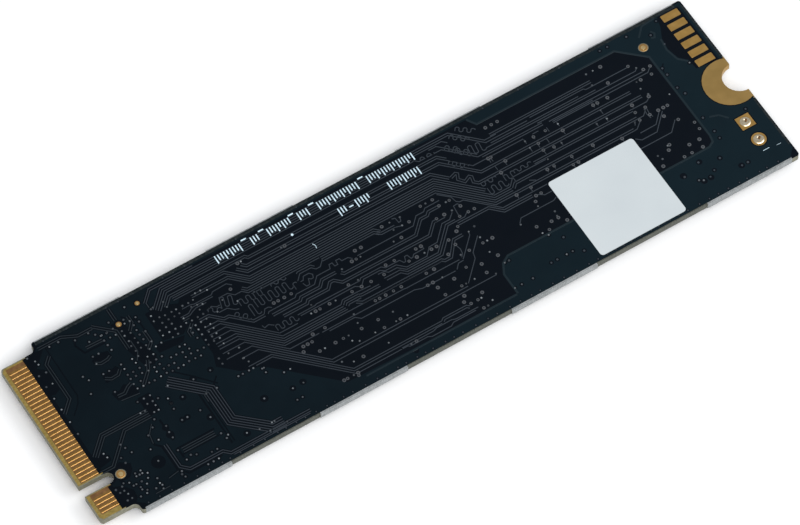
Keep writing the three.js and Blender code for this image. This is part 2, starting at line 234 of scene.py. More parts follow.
class Surface:
    """A principled material whose colour, roughness and relief vary with place on the object."""

    def __init__(self, name, roughness, metallic=0.0, specular=0.5):
        self.material = bpy.data.materials.new(name)
        self.material.use_nodes = True
        self.nodes = self.material.node_tree.nodes
        self.links = self.material.node_tree.links
        self.shader = self.nodes["Principled BSDF"]
        self.shader.inputs["Roughness"].default_value = roughness
        self.shader.inputs["Metallic"].default_value = metallic
        self.shader.inputs["Specular IOR Level"].default_value = specular
        self.place = self.nodes.new("ShaderNodeTexCoord").outputs["Object"]

    def stretched(self, stretch):
        mapping = self.nodes.new("ShaderNodeMapping")
        mapping.inputs["Scale"].default_value = stretch
        self.links.new(self.place, mapping.inputs["Vector"])
        return mapping.outputs["Vector"]

    def noise(self, grain_mm, detail=4.0, stretch=(1, 1, 1)):
        """Noise whose features are about grain_mm across."""
        node = self.nodes.new("ShaderNodeTexNoise")
        node.inputs["Scale"].default_value = 1 / (grain_mm * MM)
        node.inputs["Detail"].default_value = detail
        self.links.new(self.stretched(stretch), node.inputs["Vector"])
        return node.outputs["Fac"]

    def painted_shade_along_card(self):
        """0 at the connector edge, rising to 1 at the screw end: the ramp for painted shade on the mask."""
        parts = self.nodes.new("ShaderNodeSeparateXYZ")
        self.links.new(self.place, parts.inputs["Vector"])
        span = self.nodes.new("ShaderNodeMapRange")
        span.inputs["From Min"].default_value = CONNECTOR_EDGE_X
        span.inputs["From Max"].default_value = CONNECTOR_EDGE_X + CARD_LENGTH * MM
        self.links.new(parts.outputs["X"], span.inputs["Value"])
        return span.outputs["Result"]

    def ramp(self, value, stops):
        """Maps a value to colours or greys at the stops, each a place and a colour."""
        node = self.nodes.new("ShaderNodeValToRGB")
        elements = node.color_ramp.elements
        while len(elements) < len(stops):
            elements.new(0.5)
        for element, (position, colour) in zip(elements, stops):
            element.position = position
            element.color = (*colour, 1.0)
        self.links.new(value, node.inputs["Fac"])
        return node.outputs["Color"]

    def mix(self, factor, first, second):
        """Blends two colours by a factor. Either colour may be an output or three numbers."""
        node = self.nodes.new("ShaderNodeMix")
        node.data_type = "RGBA"
        for socket, value in ((node.inputs[6], first), (node.inputs[7], second)):
            if isinstance(value, tuple):
                socket.default_value = (*value, 1.0)
            else:
                self.links.new(value, socket)
        if isinstance(factor, float):
            node.inputs[0].default_value = factor
        else:
            self.links.new(factor, node.inputs[0])
        return node.outputs[2]

    def colour(self, output):
        self.links.new(output, self.shader.inputs["Base Color"])

    def roughness(self, value, low, high):
        node = self.nodes.new("ShaderNodeMapRange")
        node.inputs["To Min"].default_value = low
        node.inputs["To Max"].default_value = high
        self.links.new(value, node.inputs["Value"])
        self.links.new(node.outputs["Result"], self.shader.inputs["Roughness"])

    def relief(self, value, depth_mm, strength=1.0):
        node = self.nodes.new("ShaderNodeBump")
        node.inputs["Distance"].default_value = depth_mm * MM
        node.inputs["Strength"].default_value = strength
        self.links.new(value, node.inputs["Height"])
        self.links.new(node.outputs["Normal"], self.shader.inputs["Normal"])


def mask_surface(name, dark, light, specular=0.09, peel=0.35):
    """Solder mask: a blotchy dark film with fine orange peel, darker towards the connector end as painted
    shade.
    """
    surface = Surface(name, 0.45, specular=specular)
    # The blend with the ramp along the card is painted shade, darker towards the connector end.
    tint = surface.mix(0.6, surface.noise(3.5, 5.0), surface.painted_shade_along_card())
    surface.colour(surface.ramp(tint, [(0.2, dark), (0.8, light)]))
    surface.roughness(surface.noise(1.2), 0.36, 0.52)
    surface.relief(surface.noise(0.12, 3.0), 0.002, peel)
    return surface.material


def speckled_highlight_surface(name, dark, light):
    """A pale band of mask beside a cut edge, peppered with pale grains: a painted highlight."""
    surface = Surface(name, 0.5, specular=0.2)
    grain = surface.noise(0.28, 8.0)
    surface.colour(surface.ramp(grain, [(0.42, dark), (0.72, light)]))
    surface.relief(grain, 0.006, 0.5)
    return surface.material


def gold_surface(name, dark, light, low, high, grain_mm=0.5):
    """Plated gold: nearly even, with a satin grain and slightly duller patches."""
    surface = Surface(name, low, metallic=1.0)
    patch = surface.noise(grain_mm * 2, 6.0)
    surface.colour(surface.ramp(patch, [(0.3, dark), (0.7, light)]))
    surface.roughness(surface.noise(grain_mm), low, high)
    surface.relief(surface.noise(0.06, 2.0), 0.0015, 0.5)
    return surface.material


def metal_surface(name, dark, light, low, high):
    """Tin, nickel or solder: bright metal with a fine uneven grain."""
    surface = Surface(name, low, metallic=1.0)
    grain = surface.noise(0.2, 6.0)
    surface.colour(surface.ramp(grain, [(0.3, dark), (0.7, light)]))
    surface.roughness(grain, low, high)
    surface.relief(grain, 0.004, 0.4)
    return surface.material


def grained_surface(name, dark, light, grain_mm, roughness, depth_mm, specular=0.4):
    """A matte solid such as ceramic, resin or moulding compound, with a visible grain."""
    surface = Surface(name, roughness, specular=specular)
    grain = surface.noise(grain_mm, 8.0)
    cloud = surface.noise(grain_mm * 12, 3.0)
    tint = surface.ramp(grain, [(0.35, dark), (0.65, light)])
    surface.colour(surface.mix(surface.ramp(cloud, [(0.3, (0, 0, 0)), (0.7, (0.6, 0.6, 0.6))]), tint, dark))
    surface.roughness(grain, roughness - 0.08, roughness + 0.08)
    surface.relief(grain, depth_mm, 0.6)
    return surface.material


def cut_edge_surface(name, dark, light):
    """A cut board edge: glass layers lying in the plane of the card, crossed by fine tool marks."""
    surface = Surface(name, 0.55, specular=0.35)
    layers = surface.noise(0.5, 5.0, (0.4, 0.4, 5.0))
    marks = surface.noise(0.3, 8.0, (2.5, 2.5, 0.4))
    blend = surface.mix(0.5, layers, marks)
    surface.colour(surface.ramp(blend, [(0.4, dark), (0.6, light)]))
    surface.roughness(marks, 0.45, 0.7)
    surface.relief(blend, 0.012, 0.6)
    return surface.material


def via_glint_surface():
    """Painted glints on the via centres: most are dull, and a few are bright."""
    surface = Surface("via_glint", 0.35, specular=0.4)
    luck = surface.noise(1.1, 1.0)
    stops = [(0.32, (0.03, 0.034, 0.039)), (0.5, (0.07, 0.079, 0.086)), (0.68, (0.2, 0.22, 0.23))]
    surface.colour(surface.ramp(luck, stops))
    surface.relief(surface.noise(0.08, 2.0), 0.003, 0.4)
    return surface.material


def tongue_surface():
    """The bare tongue: yellowish resin over glass cloth."""
    surface = Surface("tongue_resin", 0.5, specular=0.35)
    cloth = surface.noise(0.35, 6.0, (1.0, 2.0, 1.0))
    surface.colour(surface.ramp(cloth, [(0.3, (0.165, 0.115, 0.022)), (0.7, (0.28, 0.20, 0.052))]))
    surface.roughness(cloth, 0.42, 0.6)
    surface.relief(cloth, 0.006, 0.5)
    return surface.material


def ink_surface():
    """White printing ink, a little uneven in thickness."""
    surface = Surface("white_ink", 0.6, specular=0.3)
    grain = surface.noise(0.25, 6.0)
    surface.colour(surface.ramp(grain, [(0.3, (0.41, 0.54, 0.61)), (0.6, (0.65, 0.82, 0.91))]))
    surface.relief(grain, 0.004, 0.4)
    return surface.material


def sticker_surface():
    """Blank label stock: matte white film with a fine paper-like tooth."""
    surface = Surface("sticker_film", 0.62, specular=0.3)
    tooth = surface.noise(0.3, 8.0)
    cloud = surface.noise(6.0, 2.0)
    paper = surface.ramp(cloud, [(0.3, (0.512, 0.556, 0.576)), (0.7, (0.545, 0.59, 0.606))])
    surface.colour(paper)
    surface.roughness(tooth, 0.55, 0.7)
    surface.relief(tooth, 0.002, 0.5)
    return surface.material


MASK_BARE = mask_surface("mask_over_laminate", (0.0004, 0.0020, 0.0044), (0.0014, 0.0033, 0.0066))
MASK_POUR = mask_surface("mask_over_copper_pour", (0.0012, 0.0046, 0.0076), (0.0038, 0.0114, 0.0166))
# Paler mask along the steps in the pour: a painted highlight.
MASK_RIM_HIGHLIGHT = mask_surface("mask_painted_highlight_on_copper_rim", (0.005, 0.012, 0.0165), (0.009, 0.018, 0.0235), 0.15)
MASK_TRACE = mask_surface("mask_over_track", (0.019, 0.025, 0.033), (0.034, 0.043, 0.054), 0.25, 0.2)
MASK_TRACE_DIM = mask_surface(
    "mask_over_track_in_pour", (0.012, 0.018, 0.023), (0.022, 0.029, 0.036), 0.2, 0.2
)
MASK_VIA = mask_surface("mask_over_via", (0.036, 0.040, 0.047), (0.068, 0.074, 0.082), 0.35, 0.2)
MASK_EDGE_HIGHLIGHT = speckled_highlight_surface("mask_edge_painted_highlight", (0.004, 0.008, 0.010), (0.023, 0.028, 0.028))
VIA_GLINT = via_glint_surface()
PAD_GOLD = gold_surface("pad_gold", (0.57, 0.333, 0.092), (0.665, 0.405, 0.127), 0.32, 0.5)
LAND_GOLD = gold_surface("land_gold", (0.47, 0.30, 0.10), (0.54, 0.35, 0.125), 0.38, 0.55, 1.2)
DOT_GOLD = gold_surface("dot_gold", (0.50, 0.27, 0.085), (0.66, 0.38, 0.13), 0.3, 0.45, 0.3)
# Paler gold on the crowns of the dots: a painted highlight.
DOT_HIGHLIGHT_GOLD = gold_surface("dot_gold_painted_highlight", (0.78, 0.53, 0.22), (0.95, 0.74, 0.38), 0.22, 0.36, 0.3)
CONTACT_GOLD = gold_surface("contact_gold", (0.39, 0.21, 0.059), (0.50, 0.28, 0.092), 0.22, 0.4, 0.3)
SOLDER = metal_surface("solder", (0.76, 0.62, 0.40), (0.96, 0.84, 0.63), 0.2, 0.36)
TIN = metal_surface("tin_terminals", (0.55, 0.56, 0.57), (0.72, 0.73, 0.74), 0.3, 0.5)
NICKEL = metal_surface("nickel_lid", (0.58, 0.57, 0.53), (0.7, 0.69, 0.65), 0.22, 0.38)
LAMINATE = grained_surface("laminate", (0.14, 0.135, 0.095), (0.235, 0.23, 0.17), 0.35, 0.6, 0.008)
TONGUE_RESIN = tongue_surface()
# Browner resin between the contacts, darkened further by painted shade; also the painted shade in the header
# solder's dip.
RESIN_AND_PAINTED_SHADE = grained_surface(
    "resin_and_painted_shade_between_contacts", (0.11, 0.05, 0.012), (0.18, 0.085, 0.024), 0.3, 0.55, 0.004
)
ROUTED = cut_edge_surface("routed_edge", (0.178, 0.19, 0.19), (0.30, 0.315, 0.32))
SNAPPED = cut_edge_surface("snapped_tab_edge", (0.048, 0.052, 0.041), (0.096, 0.100, 0.081))
WHITE_INK = ink_surface()
STICKER = sticker_surface()
MOULD = grained_surface("mould_compound", (0.010, 0.0105, 0.011), (0.022, 0.0225, 0.023), 0.12, 0.55, 0.006)
SUBSTRATE = grained_surface(
    "package_substrate", (0.012, 0.035, 0.022), (0.022, 0.055, 0.034), 0.4, 0.45, 0.003
)
FERRITE = grained_surface("ferrite", (0.035, 0.036, 0.038), (0.07, 0.071, 0.074), 0.1, 0.7, 0.008)
CERAMIC = grained_surface("capacitor_ceramic", (0.19, 0.125, 0.08), (0.27, 0.19, 0.125), 0.15, 0.5, 0.004)
CRYSTAL_CERAMIC = grained_surface(
    "crystal_ceramic", (0.05, 0.045, 0.04), (0.08, 0.073, 0.065), 0.15, 0.6, 0.004
)

# ---- Layout of the back: copper under the mask ---------------------------------------------

POUR_HEIGHT = 0.016
TRACK_HEIGHT = 0.03
RIM_HEIGHT = 0.022
VIA_HEIGHT = 0.034
PLUG_HEIGHT = 0.04
TRACK_WIDTH = 0.1
TRACK_PITCH = 0.262
CLEARANCE = 0.09
DIM_UNTIL_X = 19.3  # tracks that start nearer the connector run in the pour, and show less

# The pour's outline: the card, a little inside its edges, with the shoulders beside the tongue.
POUR_OUTLINE = [
    (2.62, -9.7), (3.85, -9.85), (4.6, -10.45), (4.7, -10.8), (79.0, -10.8), (79.85, -9.9), (79.85, 10.8),
    (4.7, 10.8), (4.6, 10.45), (3.85, 9.85), (2.62, 9.7),
]

# Where the mask lies on bare laminate, so that tracks and vias stand out.
BARE_REGIONS = [
    [  # flash fan-out, over most of the card
        (19.6, 8.4), (18.4, 6.9), (18.6, 0.4), (18.1, -1.0), (19.9, -2.75), (21.9, -3.35), (22.9, -4.3),
        (28.1, -9.35), (42.9, -9.75), (47.5, -9.75), (47.5, -7.1), (48.1, -5.95), (49.0, -5.42),
        (72.85, -5.42), (73.45, -5.05), (73.6, -4.3), (73.6, 6.8), (71.0, 9.25), (54.6, 9.25), (54.0, 10.3),
        (19.4, 10.3), (17.6, 8.9),
    ],
    [  # round the test pads
        (79.45, 10.45), (76.9, 10.45), (76.55, 9.2), (75.95, 8.0), (75.75, 6.6), (76.05, 5.2), (76.8, 4.4),
        (76.9, 3.1), (78.2, 2.92), (79.45, 2.85),
    ],
    [(2.6, 9.75), (2.6, 4.9), (3.2, 4.6), (4.0, 5.0), (4.0, 7.4), (3.1, 8.1), (4.0, 9.0), (4.7, 9.7),
     (3.9, 9.9)],
    [(2.6, -3.6), (3.3, -3.3), (4.3, -4.0), (4.2, -4.6), (2.6, -4.9)],
    [(3.7, -5.6), (4.7, -5.2), (5.6, -5.9), (5.4, -6.6), (4.8, -7.2), (3.7, -7.2)],
    [(2.6, -7.2), (3.6, -7.6), (4.4, -8.6), (4.3, -9.5), (3.9, -9.95), (2.6, -9.7)],
    [(8.1, 6.0), (8.2, 5.3), (9.3, 5.0), (10.1, 5.4), (10.0, 6.2), (9.0, 6.5)],
    [(8.1, 3.9), (8.1, 3.1), (9.4, 3.0), (10.1, 3.7), (9.8, 4.3), (8.9, 4.1)],
    [(7.9, 1.8), (8.1, 0.75), (10.3, 0.45), (10.3, 1.6), (9.4, 2.1), (8.7, 1.7)],
    [(11.7, 8.6), (11.7, 5.2), (12.3, 2.7), (13.2, 2.4), (13.9, 3.3), (13.2, 5.6), (12.9, 8.5)],
    [(15.2, 7.9), (15.2, 4.3), (17.3, 3.9), (18.3, 4.6), (18.6, 7.2), (17.0, 7.9)],
    [(14.2, 4.3), (14.2, 3.3), (16.8, 3.1), (17.3, 3.7), (15.4, 4.1)],
    [(9.8, 0.0), (9.8, -2.4), (11.1, -2.4), (11.1, 0.0)],
]

# Where the step down from the pour shows as a pale line, a painted highlight on a low ridge.
RIM_HIGHLIGHT_PATHS = [
    [(47.55, -9.7), (47.55, -7.1), (48.15, -5.97), (49.0, -5.45), (72.87, -5.45), (73.5, -5.08),
     (73.66, -4.3),
     (73.66, 6.82), (71.02, 9.32), (54.6, 9.32), (54.0, 10.3)],
    [(30.0, -9.72), (47.4, -9.72)],
    [(75.8, 8.0), (75.6, 6.6), (75.9, 5.1), (76.7, 4.3)],
    [(74.8, -2.45), (75.7, -2.75), (76.4, -3.6)],
    [(74.0, 9.3), (75.0, 10.35), (76.6, 10.5)],
    [(75.4, 9.35), (75.65, 8.95), (75.4, 8.5), (75.05, 8.65)],
]
RIM_WIDTH = 0.26

# Wider gaps in the pour round single vias: x, y, radius.
WIDE_GAPS = [
    (7.95, -7.2, 0.72), (14.75, -5.6, 0.4), (15.5, -1.0, 0.38), (13.6, -2.25, 0.36), (17.45, -1.0, 0.34),
    (16.85, -9.05, 0.38), (20.25, -6.6, 0.42), (10.45, -4.3, 0.36), (10.45, -5.2, 0.42),
    (68.75, -6.95, 0.36),
    (73.0, -7.1, 0.3), (24.4, -7.0, 0.36), (23.2, -7.1, 0.34), (4.15, -6.4, 0.62), (73.75, 8.05, 0.56),
    (12.45, 8.25, 0.5), (15.2, 9.38, 0.4), (71.0, -6.4, 0.32), (70.2, -8.55, 0.34), (71.0, -8.55, 0.34),
    (12.3, -4.4, 0.34), (12.85, -4.4, 0.34), (74.35, -9.0, 0.34), (75.15, -9.0, 0.26), (35.6, -9.9, 0.3),
]

# Bare lines in the pour with no track in them: width and path.
SLOTS = [
    (0.2, [(15.1, -2.7), (15.1, -9.2)]),
    (0.14, [(15.42, -3.1), (15.42, -9.1)]),
    (0.22, [(10.4, -3.2), (10.4, -5.9)]),
    (0.2, [(9.3, -3.6), (8.6, -4.2), (8.6, -5.4), (9.1, -5.9), (9.1, -9.0), (9.9, -9.85), (13.6, -9.85)]),
    (0.2, [(10.3, -8.1), (10.3, -6.9), (14.4, -6.9)]),
    (0.2, [(10.3, -7.75), (14.4, -7.75)]),
    (0.22, [(10.1, -8.1), (10.1, -8.8), (11.9, -8.8), (11.9, -8.0), (10.1, -8.0)]),
    (0.16, [(17.6, -1.9), (16.9, -2.6)]),
    (0.16, [(14.1, 0.9), (15.6, -0.7), (17.3, -2.7)]),
    (0.12, [(5.0, 9.9), (5.0, 3.4), (4.6, 2.6), (3.6, 1.6)]),
    (0.2, [(8.0, 9.2), (7.6, 8.4), (8.0, 7.2), (10.3, 7.15)]),
    (0.14, [(13.0, 8.9), (13.6, 8.3), (14.3, 7.6), (14.3, 5.0)]),
    (0.12, [(74.4, 5.4), (74.0, 5.0), (73.9, 4.4)]),
]

# Bundles of parallel tracks: how many, and the path of the first. The rest lie to its right.
BUNDLES = [
    # connector end
    (2, [(4.95, 8.65), (4.3, 8.0), (4.3, 3.45), (3.0, 2.15)]),
    (2, [(4.3, 10.15), (6.9, 10.15), (8.4, 9.4), (10.0, 9.4)]),
    (2, [(10.1, 9.55), (12.0, 7.75), (12.0, 5.3)]),
    (2, [(12.52, 10.3), (12.52, 8.8)]),
    (2, [(8.4, 7.75), (10.2, 7.7)]),
    (2, [(8.3, 5.75), (8.8, 5.45), (9.5, 5.5), (9.9, 5.7)]),
    (2, [(8.3, 3.75), (8.8, 3.4), (9.5, 3.45), (9.9, 3.85)]),
    (2, [(8.3, 1.35), (9.0, 1.3), (9.6, 1.75), (10.1, 1.95)]),
    (1, [(8.35, 0.62), (10.3, 0.4)]),
    (3, [(2.85, -3.35), (4.7, -1.5), (9.9, -1.5)]),
    (2, [(2.6, -5.2), (3.95, -5.2), (6.87, -2.28), (9.9, -2.28)]),
    (1, [(9.5, -3.2), (8.75, -4.1), (8.55, -5.2)]),
    (2, [(9.6, -5.9), (9.6, -8.7), (10.25, -9.35), (13.9, -9.35), (14.5, -9.95), (23.4, -9.95)]),
    (1, [(14.6, -10.4), (23.2, -10.4)]),
    (3, [(10.6, -7.08), (14.2, -7.08)]),
    (1, [(6.0, -10.1), (7.6, -10.1)]),
    (1, [(7.9, -9.3), (9.1, -9.1)]),
    (2, [(12.9, 7.1), (13.5, 7.8), (13.5, 8.6)]),
    (2, [(14.3, 6.3), (14.3, 4.8), (13.6, 4.1)]),
    (2, [(11.0, 1.1), (12.2, 2.3), (12.7, 3.3)]),
    (1, [(12.5, 6.0), (12.5, 4.6), (11.9, 3.7)]),
    (2, [(17.75, 3.2), (17.75, 3.9), (18.5, 4.6)]),
    (1, [(15.5, -4.0), (15.5, -3.2), (16.1, -2.7)]),
    (1, [(18.6, 6.42), (19.5, 6.42), (19.9, 6.3), (21.85, 6.3), (22.15, 6.55), (23.75, 6.62), (24.2, 6.2)]),
    (1, [(18.0, 5.66), (18.9, 5.66), (19.35, 5.97), (19.7, 6.08), (21.9, 6.06)]),
    (1, [(18.0, 5.4), (18.9, 5.4), (19.4, 5.66), (19.85, 5.82), (21.0, 5.82)]),
    (1, [(18.0, 5.15), (18.7, 5.15)]),
    (1, [(20.6, 5.0), (21.2, 5.15), (21.6, 4.85), (22.0, 4.85)]),
    # across the top
    (1, [(15.94, 8.3), (15.94, 8.9), (17.0, 9.96), (51.55, 9.96), (54.25, 7.26), (55.6, 7.26)]),
    (1, [(15.72, 9.0), (16.95, 10.23), (22.0, 10.23)]),
    (4, [(16.15, 7.9), (17.94, 9.69), (46.8, 9.69)]),
    (1, [(46.8, 9.69), (51.45, 9.69), (54.2, 6.94), (59.1, 6.94)]),
    (1, [(46.8, 9.43), (50.5, 9.43), (50.95, 8.98)]),
    (1, [(46.8, 8.95), (47.0, 8.95), (47.35, 8.6), (49.97, 8.6), (52.64, 5.93), (53.0, 5.93)]),
    (1, [(48.85, 9.21), (49.75, 9.21), (52.75, 6.21)]),
    (2, [(17.25, 7.54), (18.2, 8.49), (26.95, 8.49), (27.22, 8.22), (49.15, 8.22), (49.9, 7.47)]),
    (1, [(49.7, 7.3), (51.68, 5.3), (57.6, 5.3)]),
    (2, [(26.2, 7.85), (26.6, 7.47), (48.95, 7.47), (52.04, 4.38), (69.7, 4.38)]),
    (2, [(25.55, 7.64), (26.35, 6.84), (47.55, 6.84), (49.0, 5.39)]),
    (2, [(49.0, 5.39), (49.7, 5.62), (50.0, 5.35), (49.7, 4.75), (50.05, 4.3), (50.7, 4.6), (51.0, 4.3),
         (50.85, 3.7), (51.15, 3.4), (70.4, 3.4)]),
    (2, [(18.4, 8.0), (24.3, 8.0), (26.16, 6.14), (26.3, 6.14)]),
    (2, [(20.1, 7.29), (24.32, 7.29), (25.99, 5.62), (26.3, 5.62)]),
    (2, [(24.9, 5.45), (25.26, 5.09), (26.3, 5.09)]),
    (1, [(22.3, 5.6), (23.3, 5.6), (23.85, 5.06), (24.6, 5.06), (25.09, 4.57), (26.3, 4.57)]),
    (7, [(26.3, 6.14), (47.45, 6.14), (51.3, 2.29)]),
    (5, [(50.93, 1.92), (51.63, 1.22), (53.5, 1.22)]),
    (3, [(33.2, 4.3), (39.35, 4.3), (39.9, 3.75)]),
    (2, [(39.5, 3.86), (39.83, 3.55), (41.35, 3.55)]),
    (1, [(41.3, 3.29), (42.1, 3.05)]),
    (1, [(25.3, 4.3), (33.1, 4.3)]),
    (1, [(41.5, 4.3), (41.85, 4.2), (41.9, 3.6), (42.15, 3.6), (42.3, 4.0)]),
    (1, [(29.9, 3.1), (30.5, 3.73), (31.8, 3.73), (32.15, 3.35), (32.65, 3.35), (33.25, 3.95)]),
    (1, [(30.2, 3.9), (30.4, 4.03), (31.9, 4.03), (32.2, 3.7)]),
    (1, [(30.1, 2.9), (30.4, 2.9), (30.65, 3.3), (31.3, 3.3), (31.55, 3.0), (31.4, 2.62), (31.15, 2.62),
         (30.95, 2.8), (30.7, 2.15), (30.35, 2.15), (30.2, 2.6)]),
    # middle
    (2, [(19.4, 4.5), (20.5, 4.5), (21.6, 3.4), (22.15, 3.4), (23.93, 1.62), (25.15, 1.62)]),
    (1, [(25.15, 1.62), (25.5, 2.1), (25.9, 2.1), (26.2, 1.87)]),
    (1, [(25.5, 1.42), (25.7, 1.62), (28.7, 1.62), (29.0, 1.9), (31.1, 1.9), (31.8, 2.62), (33.35, 2.62),
         (33.5, 3.1), (33.85, 3.1), (33.9, 2.65), (34.25, 2.65), (34.3, 3.15), (34.7, 3.15), (34.8, 2.8),
         (35.5, 2.8), (35.85, 2.45)]),
    (1, [(21.5, 4.15), (22.4, 4.15), (23.0, 3.6), (23.4, 3.45)]),
    (2, [(25.8, 1.2), (28.9, 1.2), (29.18, 1.48), (31.35, 1.48), (31.95, 2.1), (33.6, 2.1)]),
    (2, [(34.1, 1.75), (34.3, 1.55), (42.5, 1.55), (43.85, 2.88), (44.65, 2.88), (45.0, 3.2), (46.2, 3.2)]),
    (2, [(26.65, 0.54), (29.3, 0.54), (29.58, 0.84), (31.9, 0.84), (32.45, 1.42), (33.0, 1.42),
         (33.64, 0.78), (43.65, 0.78), (44.8, 1.92), (45.2, 1.92)]),
    (1, [(44.8, 1.64), (46.1, 1.64)]),
    (1, [(24.3, 0.6), (24.4, 0.25), (24.9, 0.37), (25.36, 0.0)]),
    (1, [(28.1, -0.46), (34.35, -0.42), (34.8, -0.73)]),
    (1, [(27.9, -0.22), (29.9, -0.2), (30.1, -0.12), (35.1, -0.12), (35.35, 0.11), (37.7, 0.11),
         (38.05, -0.2),
         (39.65, -0.2), (39.9, -0.65), (40.1, -0.65), (40.3, -0.1), (40.6, -0.1), (40.75, -0.62),
         (40.95, -0.62),
         (41.2, -0.36), (42.4, -0.33), (42.4, 0.2)]),
    (1, [(35.0, -0.7), (35.5, -0.17), (37.4, -0.17), (37.85, -0.48), (39.1, -0.48), (39.87, -1.25),
         (42.2, -1.25),
         (42.95, -0.45), (43.9, -0.42), (45.45, 1.18), (46.35, 1.18), (47.0, 1.75)]),
    (1, [(37.0, -0.45), (37.7, -0.5), (38.0, -0.8), (39.0, -0.8), (39.72, -1.48), (43.35, -1.48),
         (45.7, 0.9),
         (46.8, 0.9)]),
    (1, [(37.3, -1.18), (39.1, -1.18), (39.65, -1.74), (43.45, -1.74), (45.85, 0.65), (47.8, 0.65),
         (48.2, 0.95)]),
    (1, [(37.4, -1.5), (39.0, -1.5), (39.5, -2.0), (43.6, -2.0), (45.0, -0.6)]),
    (4, [(32.1, -1.49), (32.5, -1.09), (34.2, -1.09)]),
    (1, [(34.2, -1.09), (35.7, -1.17)]),
    (2, [(34.2, -1.4), (34.45, -1.48), (36.5, -1.48)]),
    (2, [(33.6, -1.91), (34.1, -2.26), (43.25, -2.26), (43.5, -2.5), (44.1, -2.5), (45.4, -0.9),
         (46.5, -0.88)]),
    (1, [(28.9, -3.2), (38.3, -3.25), (38.5, -3.3), (44.7, -3.3)]),
    (1, [(29.6, -3.45), (32.5, -3.45), (33.0, -3.9), (39.1, -3.9), (39.9, -4.17), (43.7, -4.2)]),
    (2, [(39.5, -8.35), (39.8, -8.12), (42.5, -8.12), (42.8, -8.4)]),
    (1, [(34.6, -8.9), (38.2, -8.9), (38.7, -8.75), (40.4, -8.75), (40.8, -8.9), (43.4, -8.9)]),
    (1, [(43.9, -4.15), (44.4, -3.6), (45.0, -3.57)]),
    (1, [(44.0, -6.1), (46.1, -4.0), (46.3, -3.3), (47.7, -1.9)]),
    (1, [(45.05, -3.45), (47.1, -1.4), (47.15, -1.15)]),
    (1, [(45.3, -1.7), (45.45, -2.3), (45.35, -2.8), (45.05, -3.2)]),
    (1, [(46.8, 4.35), (47.85, 3.35), (48.0, 2.65), (48.3, 2.4), (48.7, 2.4), (51.58, -0.48),
         (56.8, -0.48)]),
    (2, [(46.8, 0.4), (50.4, 0.4), (51.55, -0.75), (54.8, -0.75)]),
    (1, [(47.35, 0.9), (47.5, 2.3), (47.95, 2.35), (48.2, 2.0)]),
    (1, [(36.4, 2.47), (42.9, 2.47), (43.75, 3.33), (44.65, 3.33), (44.95, 3.62), (46.65, 3.64)]),
    # towards the screw end
    (2, [(55.0, 7.63), (67.0, 7.63)]),
    (1, [(59.5, 7.12), (65.9, 7.12), (66.1, 6.93), (71.0, 6.93)]),
    (1, [(54.6, 6.64), (65.0, 6.64)]),
    (1, [(53.9, 6.38), (66.9, 6.38)]),
    (1, [(59.8, 6.12), (71.5, 6.12), (71.8, 6.35)]),
    (2, [(53.0, 5.93), (60.2, 5.93)]),
    (1, [(58.7, 5.3), (59.4, 5.3)]),
    (1, [(60.9, 5.68), (72.1, 5.68)]),
    (1, [(61.2, 5.5), (66.0, 5.5)]),
    (1, [(61.2, 5.32), (72.5, 5.32), (72.9, 5.65)]),
    (2, [(57.0, 2.46), (68.7, 2.46)]),
    (1, [(68.7, 2.44), (70.5, 2.44), (70.9, 2.7)]),
    (1, [(53.5, 1.22), (54.3, 2.05), (58.2, 2.05)]),
    (1, [(54.3, 2.05), (54.3, 1.35)]),
    (2, [(53.6, 0.96), (54.1, 1.44), (68.6, 1.44)]),
    (1, [(68.6, 1.18), (69.3, 1.18), (69.9, 1.75)]),
    (1, [(55.5, 0.85), (56.1, 0.5)]),
    (2, [(53.5, 0.43), (67.6, 0.43)]),
    (1, [(67.6, 0.17), (67.9, 0.2), (68.7, 0.85)]),
    (1, [(67.95, 0.65), (68.25, 1.15)]),
    (1, [(67.9, -0.38), (69.8, -0.35), (70.9, 0.78)]),
    (1, [(67.1, -0.7), (67.6, -1.15), (69.4, -1.15), (71.2, 0.65)]),
    (1, [(66.9, -1.98), (70.6, -1.98), (71.7, -0.9)]),
    (1, [(52.0, -2.95), (52.45, -2.45), (56.3, -2.45), (56.8, -2.2)]),
    (1, [(55.3, -1.0), (55.9, -1.42), (56.8, -1.42)]),
    (2, [(70.05, 1.8), (69.95, 1.2), (70.05, 0.6)]),
]

# Short tracks that cross between two bundles: x of each, by the y of their upper and lower ends.
STUBS = [
    (5.2, 4.65, (53.4, 53.65, 57.6, 58.6, 60.3, 61.5, 65.7, 66.15, 67.4)),
    (4.1, 3.55, (53.5, 54.6, 57.6, 58.5, 59.6, 61.5, 66.0)),
    (3.05, 2.55, (53.6, 58.6, 59.7, 60.6, 64.8, 65.95, 69.0)),
    (1.15, 0.6, (57.65, 58.5, 60.6, 63.1)),
    (0.15, -0.5, (53.5, 55.1, 60.2, 60.8, 66.0)),
]

SLANT_BUNDLE = [(13.55, 0.5), (16.85, -2.75), (16.85, -6.7), (19.55, -9.2), (20.6, -9.2)]
SLANT_COUNT = 5
SLANT_PITCH = 0.28

FAN_FIRST_SUM = 24.3  # x + y along the first slanted stretch
FAN_SUM_STEP = 0.36
FAN_ROWS = [
    # x and y of the start, y of the level stretch, x of the end
    (19.4, 3.4, -1.05, 27.4), (19.4, 3.0, -1.49, 32.1), (19.4, 2.4, -1.78, 32.2), (19.4, 1.8, -2.04, 32.3),
    (19.4, 1.2, -2.28, 32.4), (19.4, 0.85, -2.54, 43.1), (19.4, 0.5, -3.13, 28.6), (19.4, -0.1, -6.35, 43.8),
    (19.4, -0.85, -6.72, 46.9), (20.9, -1.55, -8.35, 39.5), (20.8, -2.7, -8.62, 39.4),
    (21.5, -2.98, -9.0, 34.6),
]
FAN_LAST = [(34.5, -9.0), (35.2, -9.0), (35.4, -9.15), (37.4, -9.15), (37.8, -9.35), (40.0, -9.35),
            (40.4, -9.1), (43.0, -9.1)]

